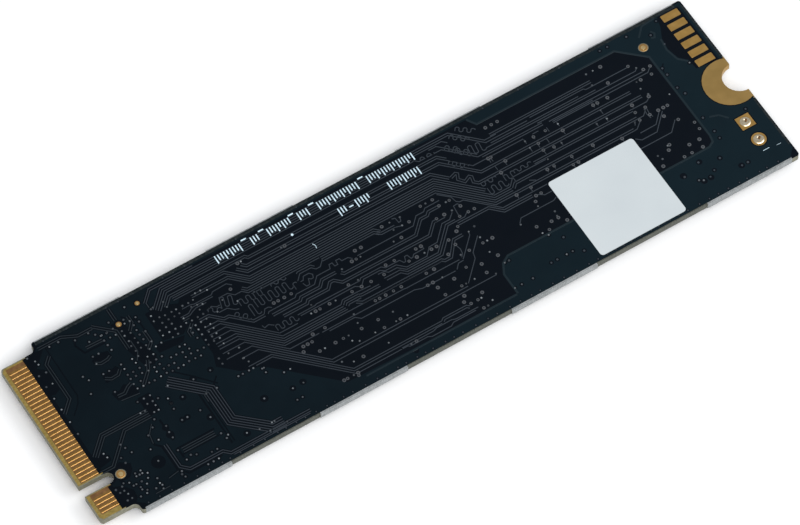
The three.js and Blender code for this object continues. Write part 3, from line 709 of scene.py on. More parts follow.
# Length-matching folds: x, y of the start, folds, step, height, angle.
SERPENTINES = [
    (22.0, 4.5, 4, 0.41, 1.15, -17), (23.75, 3.62, 7, 0.415, 0.75, 0), (27.4, 3.95, 4, 0.42, 0.3, 0),
    (24.28, 1.9, 2, 0.4, 1.42, 0), (25.08, 2.6, 10, 0.41, 1.02, 1), (29.3, 2.35, 1, 0.4, 0.8, 0),
    (25.38, -0.75, 6, 0.4, 0.68, 0), (20.6, 4.75, 3, 0.45, 0.5, -30), (22.5, 2.9, 4, 0.42, 0.55, -42),
    (47.6, 8.6, 4, 0.4, 0.3, 0), (50.2, 8.35, 4, 0.42, 0.6, -40), (51.3, 9.3, 5, 0.4, 0.5, -42),
    (52.3, 9.75, 5, 0.4, 0.5, -38), (50.9, 7.5, 4, 0.42, 0.65, -42), (52.2, 6.45, 4, 0.42, 1.1, -8),
    (49.6, 6.7, 5, 0.4, 0.5, -45), (51.2, 3.1, 4, 0.42, -0.4, 0),
    (51.45, 2.3, 5, 0.42, -0.85, 0), (53.55, 2.0, 3, 0.4, 0.7, 0), (54.75, 2.3, 5, 0.4, 0.4, 0),
]

# Tented vias outside the controller's grid: the y of a row and the x of each via in it.
VIA_ROWS = [
    (10.1, (69.8, 70.7, 73.0, 76.6)),
    (9.65, (5.4, 6.4, 13.9, 2.9)),
    (8.95, (7.9, 9.4, 11.7, 75.2, 3.4)),
    (8.45, (9.9, 13.1, 55.1, 55.8, 56.5, 67.1, 67.9, 68.8, 3.5)),
    (8.05, (9.0, 10.4, 11.0, 12.3, 16.0, 25.9, 26.3)),
    (7.3, (2.9, 3.7, 20.6, 21.2, 30.5, 30.9, 75.8)),
    (7.0, (21.8, 71.2, 66.9)),
    (6.4, (71.8, 68.4, 9.1, 8.45)),
    (5.5, (8.35,)),
    (4.15, (8.35, 9.0)),
    (1.8, (8.3,)),
    (5.85, (3.6, 2.9, 20.6, 23.8, 72.3, 73.1)),
    (5.2, (53.4, 53.7, 22.5)),
    (4.95, (6.5, 57.6, 58.6, 60.0, 61.5, 65.7, 66.2, 67.4, 70.9, 71.4, 72.7, 74.0)),
    (4.3, (2.9, 6.8, 21.4, 23.7)),
    (4.05, (40.2, 41.1, 42.3, 44.7, 45.3, 46.1, 54.7, 57.6, 58.6, 61.5, 66.0, 70.8, 74.0, 76.7)),
    (3.1, (36.5, 37.2, 41.0, 42.0, 42.8, 46.3, 47.1, 47.5, 53.6, 58.6, 71.1)),
    (2.85, (2.9, 6.2, 59.7, 60.6, 64.8, 66.0, 69.0, 71.0)),
    (2.2, (35.6, 36.1, 36.6, 26.6, 27.1, 27.8, 28.6, 74.0)),
    (1.95, (40.3, 41.2, 45.3, 46.2, 47.1, 48.1, 72.9, 68.8, 70.0, 34.3, 58.4)),
    (1.2, (2.9, 74.3)),
    (0.95, (47.4, 48.4, 49.1, 57.7, 58.5, 60.6, 63.1, 68.1, 68.7, 70.9, 71.5, 72.0, 69.9)),
    (0.05, (33.9, 35.0, 38.2, 39.2, 41.7, 42.3, 53.5, 55.2, 60.2, 60.8, 66.0, 71.0, 46.6, 29.6)),
    (-0.35, (2.9, 9.6, 10.3, 11.0, 19.9, 21.1, 46.2, 18.8, 13.0)),
    (-0.8, (29.1, 29.6, 30.1, 31.2, 31.9, 33.8, 34.9, 36.0, 37.5, 40.4, 41.3, 42.2, 43.0, 43.6, 45.0, 48.0)),
    (-1.05, (10.3, 10.9, 11.5, 15.5, 17.4, 47.2, 55.1, 55.7, 72.0, 18.8)),
    (-1.6, (9.2, 9.7, 10.9, 12.3, 20.8, 45.3, 54.7, 20.9)),
    (-2.2, (10.4, 10.9, 12.3, 13.6, 21.1, 44.1, 47.8, 54.6, 73.2, 74.2, 12.3)),
    (-2.9, (12.2, 10.0, 35.2, 35.7, 36.4, 37.3, 38.2, 41.1, 42.0, 45.1, 46.1, 47.7, 48.2, 48.8, 28.0, 29.4)),
    (-3.1, (16.95, 15.75, 19.4, 19.9, 20.6, 21.1, 52.0, 69.6, 73.2, 32.6, 69.4)),
    (-3.6, (9.4, 3.9, 5.8, 21.8, 22.0, 26.5, 27.0, 27.5, 55.7, 67.9, 69.2, 78.4)),
    (-4.15, (8.6, 10.6, 4.0, 21.9, 26.2, 32.4, 40.5, 41.1, 42.2, 47.7, 53.2, 55.6, 68.1, 71.3, 72.5, 74.3,
             6.0)),
    (-4.4, (12.25, 12.85, 14.3, 44.8, 54.8, 55.6)),
    (-4.9, (5.1, 6.3, 10.5, 27.6, 28.2, 29.4, 30.3, 30.9, 32.4, 34.3, 36.0, 41.2, 43.1, 46.3, 48.2, 67.7)),
    (-5.1, (23.4, 24.1, 53.3, 54.1, 56.2, 70.1, 71.0, 72.3, 74.3, 9.2)),
    (-5.6, (10.5, 14.75, 8.0, 5.2, 30.9, 53.7)),
    (-6.0, (31.5, 33.3, 34.35, 35.7, 36.2, 37.0, 41.4, 43.3, 43.8, 44.8, 46.2, 48.3, 48.8)),
    (-6.4, (70.9,)),
    (-6.6, (20.25, 46.9, 54.8)),
    (-7.1, (5.4, 6.0, 8.0, 10.2, 23.2, 24.4, 28.8, 42.9, 73.0, 68.8)),
    (-7.45, (6.0, 5.7, 5.35, 3.9)),
    (-7.7, (4.4, 2.9, 3.6, 6.45, 14.7, 29.8, 30.9, 33.8, 42.5, 44.6)),
    (-8.2, (4.6, 15.2, 3.1, 3.55, 4.9, 6.2, 11.0, 5.5, 43.0, 43.8, 44.2, 69.8)),
    (-8.0, (71.75,)),
    (-8.45, (10.4, 11.5, 14.9, 22.9, 23.5, 52.2, 52.9, 54.0, 54.7, 70.2, 71.0)),
    (-9.0, (5.1, 12.9, 13.5, 16.85, 27.9, 28.3, 29.0, 29.5, 35.6, 36.2, 45.0, 47.6, 48.4, 49.7, 55.7,
            74.4, 75.1)),
    (-8.7, (3.7, 5.1, 6.95, 5.8)),
    (-9.6, (4.6, 5.3, 6.3, 9.2, 7.0)),
    (-9.3, (3.3, 3.8, 6.9, 9.35, 18.1, 19.8, 29.4, 43.8, 44.3, 5.5, 19.5)),
    (-10.0, (6.9, 11.9, 12.5, 13.1, 9.35, 20.8, 18.9)),
]
VIA_RADIUS = 0.19
VIA_GAP = 0.25
GLINT_RADIUS = 0.085
DIMPLE_RADIUS = 0.07
VIA_BEVEL = 0.012
PLUG_BEVEL = 0.003
VIA_SIDES = 14
PLUG_SIDES = 10
# Share of vias drawn as a dot with a painted glint, wherever they lie.
GLINT_SHARE = 0.3
DOT_SHARE = 0.6
RINGS_FROM_X = 23.0  # nearer the connector every via is a small filled dot
GLINTS_UNTIL_X = 50.0  # beyond this most of the dots in the pour are dull
STITCH_RADIUS = 0.085
STITCH_GAP = 0.16
EDGE_VIA_Y = -10.55
EDGE_VIA_PITCH = 1.16
FAR_EDGE_VIAS = (5.2, 6.6, 7.8, 8.9, 12.3, 13.7, 15.4, 18.8, 20.0, 21.3, 27.2, 34.2, 48.0, 56.1, 60.3, 65.2)
GRID_FIRST = (10.35, 0.9)
GRID_STEP = 0.65
GRID_COUNT = (16, 12)
GRID_SHARE = 0.84  # of the grid's places that hold a via
GRID_JITTER = 0.07
# Where tracks take the room of vias: the lower and upper x, and the lower and upper y.
GRID_GAPS = [
    (10.8, 12.0, 4.6, 7.2), (14.4, 15.3, 4.4, CARD_HALF_WIDTH), (14.2, 17.2, 3.1, 3.9),
    (14.6, 15.8, 7.6, CARD_HALF_WIDTH), (17.9, CARD_LENGTH, 7.3, CARD_HALF_WIDTH),
]


def fan_out():
    """Tracks that leave the controller row by row, run down a slant together and level out."""
    paths = [FAN_LAST]
    for i, (start_x, start_y, level, end) in enumerate(FAN_ROWS):
        slant = FAN_FIRST_SUM - FAN_SUM_STEP * i
        paths.append([(start_x, start_y), (slant - start_y, start_y), (slant - level, level), (end, level)])
    return paths


def serpentine(x, y, folds, step, height, angle=0.0):
    """A track folded up and down to gain length: the points of its folds, with cut corners."""
    cut = 0.28 * step
    points = [(0.0, 0.0)]
    for i in range(folds):
        left, right = step * i, step * (i + 1)
        near, far = (0.0, height) if i % 2 == 0 else (height, 0.0)
        rise = math.copysign(cut, far - near)
        points.append((left, far - rise))
        points.append((left + cut, far))
        points.append((right - cut, far))
        points.append((right, far - rise))
    points.append((step * folds, 0.0 if folds % 2 == 0 else height))
    turn = math.radians(angle)
    cosine, sine = math.cos(turn), math.sin(turn)
    return [(x + px * cosine - py * sine, y + px * sine + py * cosine) for px, py in points]


def controller_grid():
    """Vias under the controller, on its ball grid, with the gaps that its tracks need."""
    chance = random.Random(11)
    points = []
    for row in range(GRID_COUNT[1]):
        for column in range(GRID_COUNT[0]):
            x = GRID_FIRST[0] + GRID_STEP * column
            y = GRID_FIRST[1] + GRID_STEP * row
            kept = chance.random() < GRID_SHARE
            if kept and not any(x0 < x < x1 and y0 < y < y1 for x0, x1, y0, y1 in GRID_GAPS):
                points.append((x + chance.uniform(-GRID_JITTER, GRID_JITTER),
                               y + chance.uniform(-GRID_JITTER, GRID_JITTER)))
    return points


def edge_vias():
    """Stitching vias along the long edges, at a slightly uneven pitch beside the key."""
    jitter = random.Random(5)
    points = [(x, -EDGE_VIA_Y) for x in FAR_EDGE_VIAS]
    x = 4.9
    while x < CARD_LENGTH - 1.5:
        points.append((x, EDGE_VIA_Y))
        x += EDGE_VIA_PITCH * jitter.uniform(0.75, 1.3)
    return points


def inside(outline, x, y):
    """Whether a point lies within an outline."""
    found = False
    for (ax, ay), (bx, by) in zip(outline, outline[1:] + outline[:1]):
        if (ay > y) != (by > y) and x < ax + (y - ay) * (bx - ax) / (by - ay):
            found = not found
    return found


def in_pour(x, y):
    return not any(inside(outline, x, y) for outline in BARE_REGIONS)


def node_outline(node, margin=0.0):
    """A CAD node's footprint on the card, in millimetres: x0, y0, x1, y1."""
    low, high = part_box(node)
    x0 = (low.x - CONNECTOR_EDGE_X) / MM - margin
    x1 = (high.x - CONNECTOR_EDGE_X) / MM + margin
    return x0, low.y / MM - margin, x1, high.y / MM + margin


def covered(x, y):
    """Whether a place lies under the sticker or a gold dot."""
    for node in ("blank_sticker", *DOT_NODES):
        x0, y0, x1, y1 = node_outline(node)
        if x0 < x < x1 and y0 < y < y1:
            return True
    return False


def anticlockwise(outline):
    area = sum(ax * by - bx * ay for (ax, ay), (bx, by) in zip(outline, outline[1:] + outline[:1]))
    return outline if area > 0 else outline[::-1]


def cut_area(sheet, holes):
    """The sheet's outline less the holes, as points and triangles, all flat and in millimetres."""
    points, loops = [], []
    for outline in [anticlockwise(shape) for shape in (sheet, *holes)]:
        first = len(points)
        points.extend(Vector(point) for point in outline)
        loops.append(list(range(first, len(points))))
    corners, _, faces, _, _, owners = delaunay_2d_cdt(points, [], loops, 1, 1e-5)
    kept = [face for face, owner in zip(faces, owners) if owner == [0]]
    return [tuple(corner) for corner in corners], kept


def band(path, width):
    """The outline of a strip of the width along a path."""
    return offset_path(path, width / 2) + offset_path(path, -width / 2)[::-1]


def bundle_band(count, path, pitch):
    """The outline of the gap in the pour that a bundle of tracks runs in."""
    middle = offset_path(path, -pitch * (count - 1) / 2)
    return band(middle, pitch * (count - 1) + TRACK_WIDTH + 2 * CLEARANCE)


# ---- Back of the card ----------------------------------------------------------------------

SEAT_INSET = 1.1  # of the land's centre from the end of the card
SEAT_CENTRE_X = CARD_LENGTH - SEAT_INSET
SEAT_GAP_RADIUS = 2.95
SEAT_RADIUS = 1.75
SEAT_LAND_RADIUS = 2.85
SEAT_SIDES = 48
KEY_GAP = (0.0, -7.0, 3.75, -5.25)
KEY_GAP_CORNER = 0.8
HEADER_GAP = 0.1


def back_gaps():
    """Every opening in the back's copper pour."""
    gaps = list(BARE_REGIONS)
    gaps += [bundle_band(count, path, TRACK_PITCH) for count, path in BUNDLES]
    gaps.append(bundle_band(SLANT_COUNT, SLANT_BUNDLE, SLANT_PITCH))
    gaps += [band(path, width) for width, path in SLOTS]
    gaps += [circle_points(x, y, radius, 20) for x, y, radius in WIDE_GAPS]
    gaps.append(circle_points(SEAT_CENTRE_X, 0, SEAT_GAP_RADIUS, SEAT_SIDES))
    gaps.append(rounded_rectangle(*KEY_GAP, KEY_GAP_CORNER))
    gaps.append(rounded_rectangle(*node_outline("header_hole_square", HEADER_GAP), 0.08))
    x0, y0, x1, y1 = node_outline("header_hole_round", HEADER_GAP)
    gaps.append(circle_points((x0 + x1) / 2, (y0 + y1) / 2, (x1 - x0) / 2, 24))
    for x, y in via_places():
        if in_pour(x, y):
            gaps.append(circle_points(x, y, VIA_GAP, 12))
    gaps += [circle_points(x, y, STITCH_GAP, 10) for x, y in edge_vias()]
    return gaps


def via_places():
    rows = [(x, y) for y, row in VIA_ROWS for x in row]
    return [place for place in rows + controller_grid() if not covered(*place)]


def build_pour():
    pour = Relief(BACK_MASK_Z)
    pour.sheet(*cut_area(POUR_OUTLINE, back_gaps()), 0, POUR_HEIGHT)
    pour.build("copper_pour_back", MASK_POUR)


def build_pour_rim_highlights():
    """A low ridge along the edge of a wide step in the copper, paler than the pour as a painted highlight.
    """
    rims = Relief(BACK_MASK_Z)
    for path in RIM_HIGHLIGHT_PATHS:
        rims.ribbon(path, RIM_WIDTH, 0, RIM_HEIGHT)
    rims.build("copper_pour_rim_highlights", MASK_RIM_HIGHLIGHT)


def build_tracks():
    tracks = Relief(BACK_MASK_Z)
    dim_tracks = Relief(BACK_MASK_Z)
    paths = fan_out() + [serpentine(*values) for values in SERPENTINES]
    for count, path in BUNDLES:
        paths += [offset_path(path, -TRACK_PITCH * i) for i in range(count)]
    paths += [offset_path(SLANT_BUNDLE, -SLANT_PITCH * i) for i in range(SLANT_COUNT)]
    for upper, lower, places in STUBS:
        paths += [[(x, upper), (x, lower)] for x in places if not covered(x, upper)]
    for path in paths:
        in_the_pour = path[0][0] < DIM_UNTIL_X and path[-1][0] < DIM_UNTIL_X
        (dim_tracks if in_the_pour else tracks).ribbon(path, TRACK_WIDTH, 0, TRACK_HEIGHT)
    tracks.build("tracks_back", MASK_TRACE)
    dim_tracks.build("tracks_back_connector_end", MASK_TRACE_DIM)


def build_vias():
    """Tented vias: rings over bare laminate, and small filled dots elsewhere, many with a painted glint."""
    rings = Relief(BACK_MASK_Z)
    dimples = Relief(BACK_MASK_Z)
    dots = Relief(BACK_MASK_Z)
    glints = Relief(BACK_MASK_Z)
    chance = random.Random(3)
    for x, y in via_places():
        radius = VIA_RADIUS * chance.uniform(0.85, 1.15)
        bright = chance.random() < GLINT_SHARE
        if in_pour(x, y) or x < RINGS_FROM_X or bright:
            dots.disc(x, y, DOT_SHARE * radius, 0, VIA_HEIGHT, VIA_BEVEL, VIA_SIDES)
            # A lighter disc on the dot: a painted glint.
            if x < GLINTS_UNTIL_X or bright:
                glints.disc(x, y, GLINT_RADIUS, 0, PLUG_HEIGHT, PLUG_BEVEL, PLUG_SIDES)
        else:
            rings.disc(x, y, radius, 0, VIA_HEIGHT, VIA_BEVEL, VIA_SIDES)
            dimples.disc(x, y, DIMPLE_RADIUS, 0, PLUG_HEIGHT, PLUG_BEVEL, PLUG_SIDES)
    for x, y in edge_vias():
        dots.disc(x, y, STITCH_RADIUS, 0, VIA_HEIGHT, VIA_BEVEL, PLUG_SIDES)
    rings.build("via_rings_back", MASK_VIA)
    dimples.build("via_dimples_back", MASK_POUR)
    dots.build("via_dots_back", MASK_TRACE)
    glints.build("via_glints_back", VIA_GLINT)


# ---- Printing ------------------------------------------------------------------------------

INK_LOW = 0.01
INK_HIGH = 0.05
TICK_WIDTH = 0.13
TICK_PITCH = 0.345
TICK_SHARES = (1.0, 0.75, 0.75, 1.0, 0.6)
# Rows of plain ticks: the lower and upper y, and the x of the two ends of each group.
TICK_ROWS = [
    (9.0, 9.96, ((24.3, 27.2), (28.4, 29.1), (30.3, 32.7), (33.8, 34.9), (36.1, 40.5), (41.9, 47.0))),
    (7.2, 8.2, ((37.5, 38.3), (39.5, 40.9), (43.3, 46.7))),
]
INK_DASHES = [
    # x and y of the middle, length, width
    (27.8, 10.1, 0.6, 0.14), (29.8, 10.1, 0.6, 0.14), (33.25, 10.1, 0.6, 0.14), (35.6, 10.1, 0.6, 0.14),
    (41.35, 10.1, 0.6, 0.14), (38.9, 7.72, 0.5, 0.13), (77.5, -8.7, 0.75, 0.05), (78.9, -8.86, 0.5, 0.02),
]
INK_DOT = (32.2, 8.0, 0.14)
INK_ARC = [(33.35, 6.0), (33.47, 5.8), (33.5, 5.6), (33.44, 5.35)]
INK_ARC_WIDTH = 0.07
INK_BEVEL = 0.01


def build_ink():
    """Plain ticks and dashes printed on the mask, in place of any wording."""
    ink = Relief(BACK_MASK_Z)
    for low, high, groups in TICK_ROWS:
        for start, end in groups:
            count = round((end - start) / TICK_PITCH) + 1
            for i in range(count):
                x = start + TICK_PITCH * i
                share = TICK_SHARES[i % len(TICK_SHARES)]
                outline = rounded_rectangle(x, high - share * (high - low), x + TICK_WIDTH, high, 0.05, 2)
                ink.slab(outline, INK_LOW, INK_HIGH, INK_BEVEL)
    for x, y, length, width in INK_DASHES:
        corners = (x - length / 2, y - width / 2, x + length / 2, y + width / 2)
        outline = rounded_rectangle(*corners, 0.02, 2)
        ink.slab(outline, INK_LOW, INK_HIGH, INK_BEVEL)
    ink.disc(*INK_DOT, INK_LOW, INK_HIGH, 0.02)
    ink.ribbon(INK_ARC, INK_ARC_WIDTH, INK_LOW, INK_HIGH)
    ink.build("printed_ticks", WHITE_INK)


# ---- Gold pads -----------------------------------------------------------------------------

PAD_HEIGHT = 0.03
COLLAR_WIDTH = 0.27  # of the mask's raised lip round a pad
COLLAR_HEIGHT = 0.042
PAD_COLLAR_OUTSET = 0.085  # of the lip's middle from the pad's outline
DOT_COLLAR_OUTSET = 0.07
SEAT_COLLAR_WIDTH = 0.2
SEAT_COLLAR_OUTSET = 0.07
SEAT_COLLAR_SIDES = 72
SEAT_COLLAR_ENDS = (14, -13)  # the first and last points that lie on the card
# A dot from its foot to its crown: share of the radius, and height.
DOT_PROFILE = ((1.0, 0.0), (1.0, 0.02), (0.93, 0.032), (0.6, 0.042), (0.25, 0.046))
# Solder in a header hole, from its foot up and into its dip: radius, shift of the centre, height.
SOLDER_STEPS = (
    (0.59, 0.0, 0.02), (0.57, 0.0, 0.045), (0.45, 0.0, 0.1), (0.31, 0.03, 0.11), (0.16, 0.07, 0.07),
    (0.06, 0.09, 0.0),
)
# Outline of the dark patch of painted shade in the solder's dip.
DIP_SHADE_OUTLINE = ((0.0, -0.02), (0.32, 0.12), (0.2, 0.3), (0.08, 0.24))  # from the hole's centre
PAD_NODES = [name for name in sorted(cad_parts) if name.startswith("test_pad")]
DOT_NODES = [name for name in sorted(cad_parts) if name.startswith(("fiducial", "tooling_dot"))]


def build_test_pads():
    """Test pads with the softly rounded corners that etching leaves."""
    for node in PAD_NODES:
        pad = Relief(BACK_LAMINATE_Z)
        pad.slab(rounded_rectangle(*node_outline(node), 0.13), 0, PAD_HEIGHT, 0.012)
        piece = pad.build(node + "_plated", PAD_GOLD)
        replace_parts(piece, node)


def build_dots():
    """Bare gold dots, slightly crowned, with an etched rim and a paler crown that is a painted highlight."""
    for node in DOT_NODES:
        x0, y0, x1, y1 = node_outline(node)
        x, y, radius = (x0 + x1) / 2, (y0 + y1) / 2, (x1 - x0) / 2
        dot = Relief(BACK_LAMINATE_Z)
        dot.loft([(circle_points(x, y, radius * share, 28), height) for share, height in DOT_PROFILE])
        piece = dot.build(node + "_plated", DOT_GOLD)
        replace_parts(piece, node)
        # A paler gold disc on the crown: a painted highlight.
        crown = Relief(BACK_LAMINATE_Z)
        crown.disc(x, y, 0.55 * radius, 0.03, 0.052, 0.01, 24)
        crown.build(node + "_crown", DOT_HIGHLIGHT_GOLD)


def build_collars():
    """The mask laps over the rims of the pads, the tooling dots and the screw seat's land."""
    collars = Relief(BACK_LAMINATE_Z)
    outlines = []
    for node in (*PAD_NODES, "header_hole_square"):
        outlines.append(rounded_rectangle(*node_outline(node, PAD_COLLAR_OUTSET), 0.03, 1))
    for node in ("header_hole_round", "tooling_dot_1", "tooling_dot_2"):
        x0, y0, x1, y1 = node_outline(node, DOT_COLLAR_OUTSET)
        outlines.append(circle_points((x0 + x1) / 2, (y0 + y1) / 2, (x1 - x0) / 2, 36))
    for outline in outlines:
        collars.ribbon(outline + outline[:1], COLLAR_WIDTH, 0, COLLAR_HEIGHT)
    land = circle_points(SEAT_CENTRE_X, 0, SEAT_LAND_RADIUS + SEAT_COLLAR_OUTSET, SEAT_COLLAR_SIDES)
    collars.ribbon(land[slice(*SEAT_COLLAR_ENDS)], SEAT_COLLAR_WIDTH, 0, COLLAR_HEIGHT)
    collars.build("mask_collars", MASK_BARE)


def build_header_pads():
    """Two plated header holes, each filled with solder that has sunk to one side, with painted shade in its
    dip.
    """
    for node, square in (("header_hole_square", True), ("header_hole_round", False)):
        x0, y0, x1, y1 = node_outline(node)
        x, y = (x0 + x1) / 2, (y0 + y1) / 2
        pad = Relief(BACK_LAMINATE_Z)
        if square:
            outline = rounded_rectangle(x0, y0, x1, y1, 0.04)
        else:
            outline = circle_points(x, y, (x1 - x0) / 2, 32)
        pad.slab(outline, 0, PAD_HEIGHT, 0.01)
        piece = pad.build(node + "_plated", PAD_GOLD)
        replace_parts(piece, node)
        fill = Relief(BACK_LAMINATE_Z)
        rings = []
        for radius, shift, height in SOLDER_STEPS:
            rings.append((circle_points(x + shift, y + shift, radius, 24), height))
        fill.loft(rings)
        fill.build(node + "_solder", SOLDER, smooth=True)
        # A dark patch in the solder's dip: painted shade.
        pit = Relief(BACK_LAMINATE_Z)
        pit.slab([(x + dx, y + dy) for dx, dy in DIP_SHADE_OUTLINE], 0.05, 0.116, 0.01)
        pit.build(node + "_dip_shade", RESIN_AND_PAINTED_SHADE)


# ---- Edge contacts -------------------------------------------------------------------------

CONTACT_PITCH = 0.5
CONTACT_WIDTH = 0.35
CONTACT_START = 0.45
CONTACT_END = 2.62
CONTACT_HEIGHT = 0.035
CROWN_SHARE = 0.7
CROWN_INSET = 0.04
CONTACT_ROWS = [
    # CAD node, outward direction, y of the first contact, how many
    ("back_edge_contacts_main", 1, 9.0, 29),
    ("back_edge_contacts_key_side", 1, -7.5, 4),
    ("front_edge_contacts_main", -1, 9.25, 29),
    ("front_edge_contacts_key_side", -1, -7.25, 5),
]
MASK_START = 2.42
LIP_END = 2.85
LIP_SPANS = ((-5.3, 9.78), (-9.78, -6.95))
SHADE_START, SHADE_END = 0.42, 2.9
SHADE_LOWEST, SHADE_HIGHEST = -9.72, 9.62
FACES = (("back", BACK_LAMINATE_Z, 1), ("front", FRONT_LAMINATE_Z, -1))
TONGUE_OUTLINES = [
    [(0.06, -5.42), (2.9, -5.42), (2.9, 9.82), (0.35, 9.82), (0.06, 9.5)],
    [(0.06, -9.5), (0.35, -9.82), (2.9, -9.82), (2.9, -6.83), (0.06, -6.83)],
]


def build_contacts():
    for node, outward, first_y, count in CONTACT_ROWS:
        base = BACK_LAMINATE_Z if outward > 0 else FRONT_LAMINATE_Z
        row = Relief(base, outward)
        half = CONTACT_WIDTH / 2
        for i in range(count):
            y = first_y - CONTACT_PITCH * i
            outline = rounded_rectangle(CONTACT_START, y - half, CONTACT_END, y + half, 0.05, 2)
            crown_half = CROWN_SHARE * half
            crown_start = CONTACT_START + CROWN_INSET
            crown = rounded_rectangle(crown_start, y - crown_half, CONTACT_END, y + crown_half, 0.05, 2)
            row.loft([(outline, 0), (outline, 0.3 * CONTACT_HEIGHT), (crown, CONTACT_HEIGHT)])
        piece = row.build(node + "_plated", CONTACT_GOLD)
        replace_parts(piece, node)


def build_tongue():
    """Bare resin round the contacts, and browner resin between them, darkened further by painted shade."""
    for side, base, outward in FACES:
        skin = Relief(base, outward)
        for outline in TONGUE_OUTLINES:
            skin.slab(outline, 0, 0.006)
        skin.build("tongue_resin_" + side, TONGUE_RESIN)
        shade = Relief(base, outward)
        for _, row_outward, first_y, count in CONTACT_ROWS:
            if row_outward == outward:
                top = min(first_y + 0.62, SHADE_HIGHEST)
                bottom = max(first_y - CONTACT_PITCH * (count - 1) - 0.3, SHADE_LOWEST)
                shade.slab(rounded_rectangle(SHADE_START, bottom, SHADE_END, top, 0.06, 2), 0.006, 0.011)
        shade.build("resin_between_contacts_" + side, RESIN_AND_PAINTED_SHADE)


def build_mask_lips():
    """The mask's end over the contacts' roots, on both faces."""
    for side, base, outward in FACES:
        lip = Relief(base, outward)
        for low, high in LIP_SPANS:
            lip.slab(plain_rectangle(MASK_START, low, LIP_END, high), 0.004, 0.05, 0.01)
        lip.build("mask_lip_" + side, MASK_BARE)


# ---- Cut edges -----------------------------------------------------------------------------

TABS = ((14.0, 24.0), (34.0, 46.0), (56.0, 69.0))
EDGE_START, EDGE_END = 4.35, 79.1
ROUTED_DEPTHS = {-1: 0.19, 1: 0.12}  # how far the cut shows on the back face, at each long edge
TAB_DEPTH = 0.1
TAB_RECESS = 0.1
PROUD = 0.006
LAMINATE_THICKNESS = (BACK_LAMINATE_Z - FRONT_LAMINATE_Z) / MM
STRIP_LOW, STRIP_HIGH = -0.004, LAMINATE_THICKNESS + 0.036
# The paler mask beside the far long edge and beside the screw end, a painted highlight: x0, y0, x1, y1.
EDGE_HIGHLIGHTS = ((EDGE_START, 10.5, EDGE_END, 10.86), (79.7, -9.4, 79.93, -3.1), (79.7, 3.1, 79.93, 10.4))
SEAT_WALL = 0.04


def edge_strip(x0, x1, edge, depth, side, name, material):
    """One stretch of a long edge's cut face, from face to face of the card."""
    strip = Relief(FRONT_LAMINATE_Z)
    y0, y1 = sorted((side * (edge - depth), side * edge))
    strip.slab(plain_rectangle(x0, y0, x1, y1), STRIP_LOW, STRIP_HIGH, 0.02)
    strip.build(name, material)


def build_edges():
    """Routed stretches stand proud and pale. The tabs between them were snapped and are duller."""
    edge = CARD_HALF_WIDTH + PROUD
    for side, label in ((-1, "key_side"), (1, "far_side")):
        starts = (EDGE_START, *(tab_end for _, tab_end in TABS))
        ends = (*(tab_start for tab_start, _ in TABS), EDGE_END)
        for i, (start, end) in enumerate(zip(starts, ends)):
            edge_strip(start, end, edge, ROUTED_DEPTHS[side], side, f"routed_edge_{label}_{i}", ROUTED)
        for i, (start, end) in enumerate(TABS):
            edge_strip(start, end, edge - TAB_RECESS, TAB_DEPTH, side, f"tab_edge_{label}_{i}", SNAPPED)


# Pale bands of mask along the cut edges: a painted highlight.
def build_edge_highlights():
    margin = Relief(BACK_MASK_Z)
    for corners in EDGE_HIGHLIGHTS:
        margin.slab(plain_rectangle(*corners), 0, 0.019)
    margin.build("mask_edge_painted_highlights", MASK_EDGE_HIGHLIGHT)


def build_seat_wall():
    """The plated wall of the half-round screw seat."""
    turns = [math.radians(angle) for angle in range(92, 269, 8)]
    wall = Relief(FRONT_LAMINATE_Z)
    arc = [(CARD_LENGTH + SEAT_RADIUS * math.cos(turn), SEAT_RADIUS * math.sin(turn)) for turn in turns]
    wall.ribbon(arc, SEAT_WALL, 0, LAMINATE_THICKNESS)
    wall.build("screw_seat_wall", LAND_GOLD)


# ---- Component side ------------------------------------------------------------------------

BALL_RADIUS = 0.24
BALL_HEIGHT = 0.2
BALL_PITCH = 1.0
# A squashed ball: the share of its radius, by the share of its height.
BALL_PROFILE = ((0.7, 0.0), (1.0, 0.35), (1.0, 0.65), (0.75, 1.0))
PASSIVE_END = 0.28


def dress(node, material):
    """Gives a CAD node that stays on show its material."""
    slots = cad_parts[node].data.materials
    slots.clear()
    slots.append(material)


def node_depth(node):
    """How far a chip-side node reaches from the mask: its near and far heights in millimetres."""
    low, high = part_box(node)
    return (FRONT_MASK_Z - high.z) / MM, (FRONT_MASK_Z - low.z) / MM


def ball_row_places(x0, y0, x1, y1):
    """The outer ring of a package's ball grid."""
    columns = int((x1 - x0 - 1.0) / BALL_PITCH)
    rows = int((y1 - y0 - 1.0) / BALL_PITCH)
    first_x = (x0 + x1 - columns * BALL_PITCH) / 2
    first_y = (y0 + y1 - rows * BALL_PITCH) / 2
    for i in range(columns + 1):
        for j in range(rows + 1):
            if i in (0, columns) or j in (0, rows):
                yield first_x + i * BALL_PITCH, first_y + j * BALL_PITCH


def build_package(substrate, mould):
    """A ball-grid package: moulded cap, thin substrate and the outer ring of solder balls."""
    outline = node_outline(substrate)
    near, far = node_depth(substrate)
    base = Relief(FRONT_MASK_Z, -1)
    base.slab(rounded_rectangle(*outline, 0.06, 2), near + BALL_HEIGHT, far, 0.01)
    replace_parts(base.build(substrate + "_board", SUBSTRATE), substrate)
    balls = Relief(FRONT_MASK_Z, -1)
    for x, y in ball_row_places(*outline):
        rings = []
        for share, rise in BALL_PROFILE:
            rings.append((circle_points(x, y, BALL_RADIUS * share, 12), near + rise * BALL_HEIGHT))
        balls.loft(rings)
    balls.build(substrate + "_balls", TIN, smooth=True)
    dress(mould, MOULD)


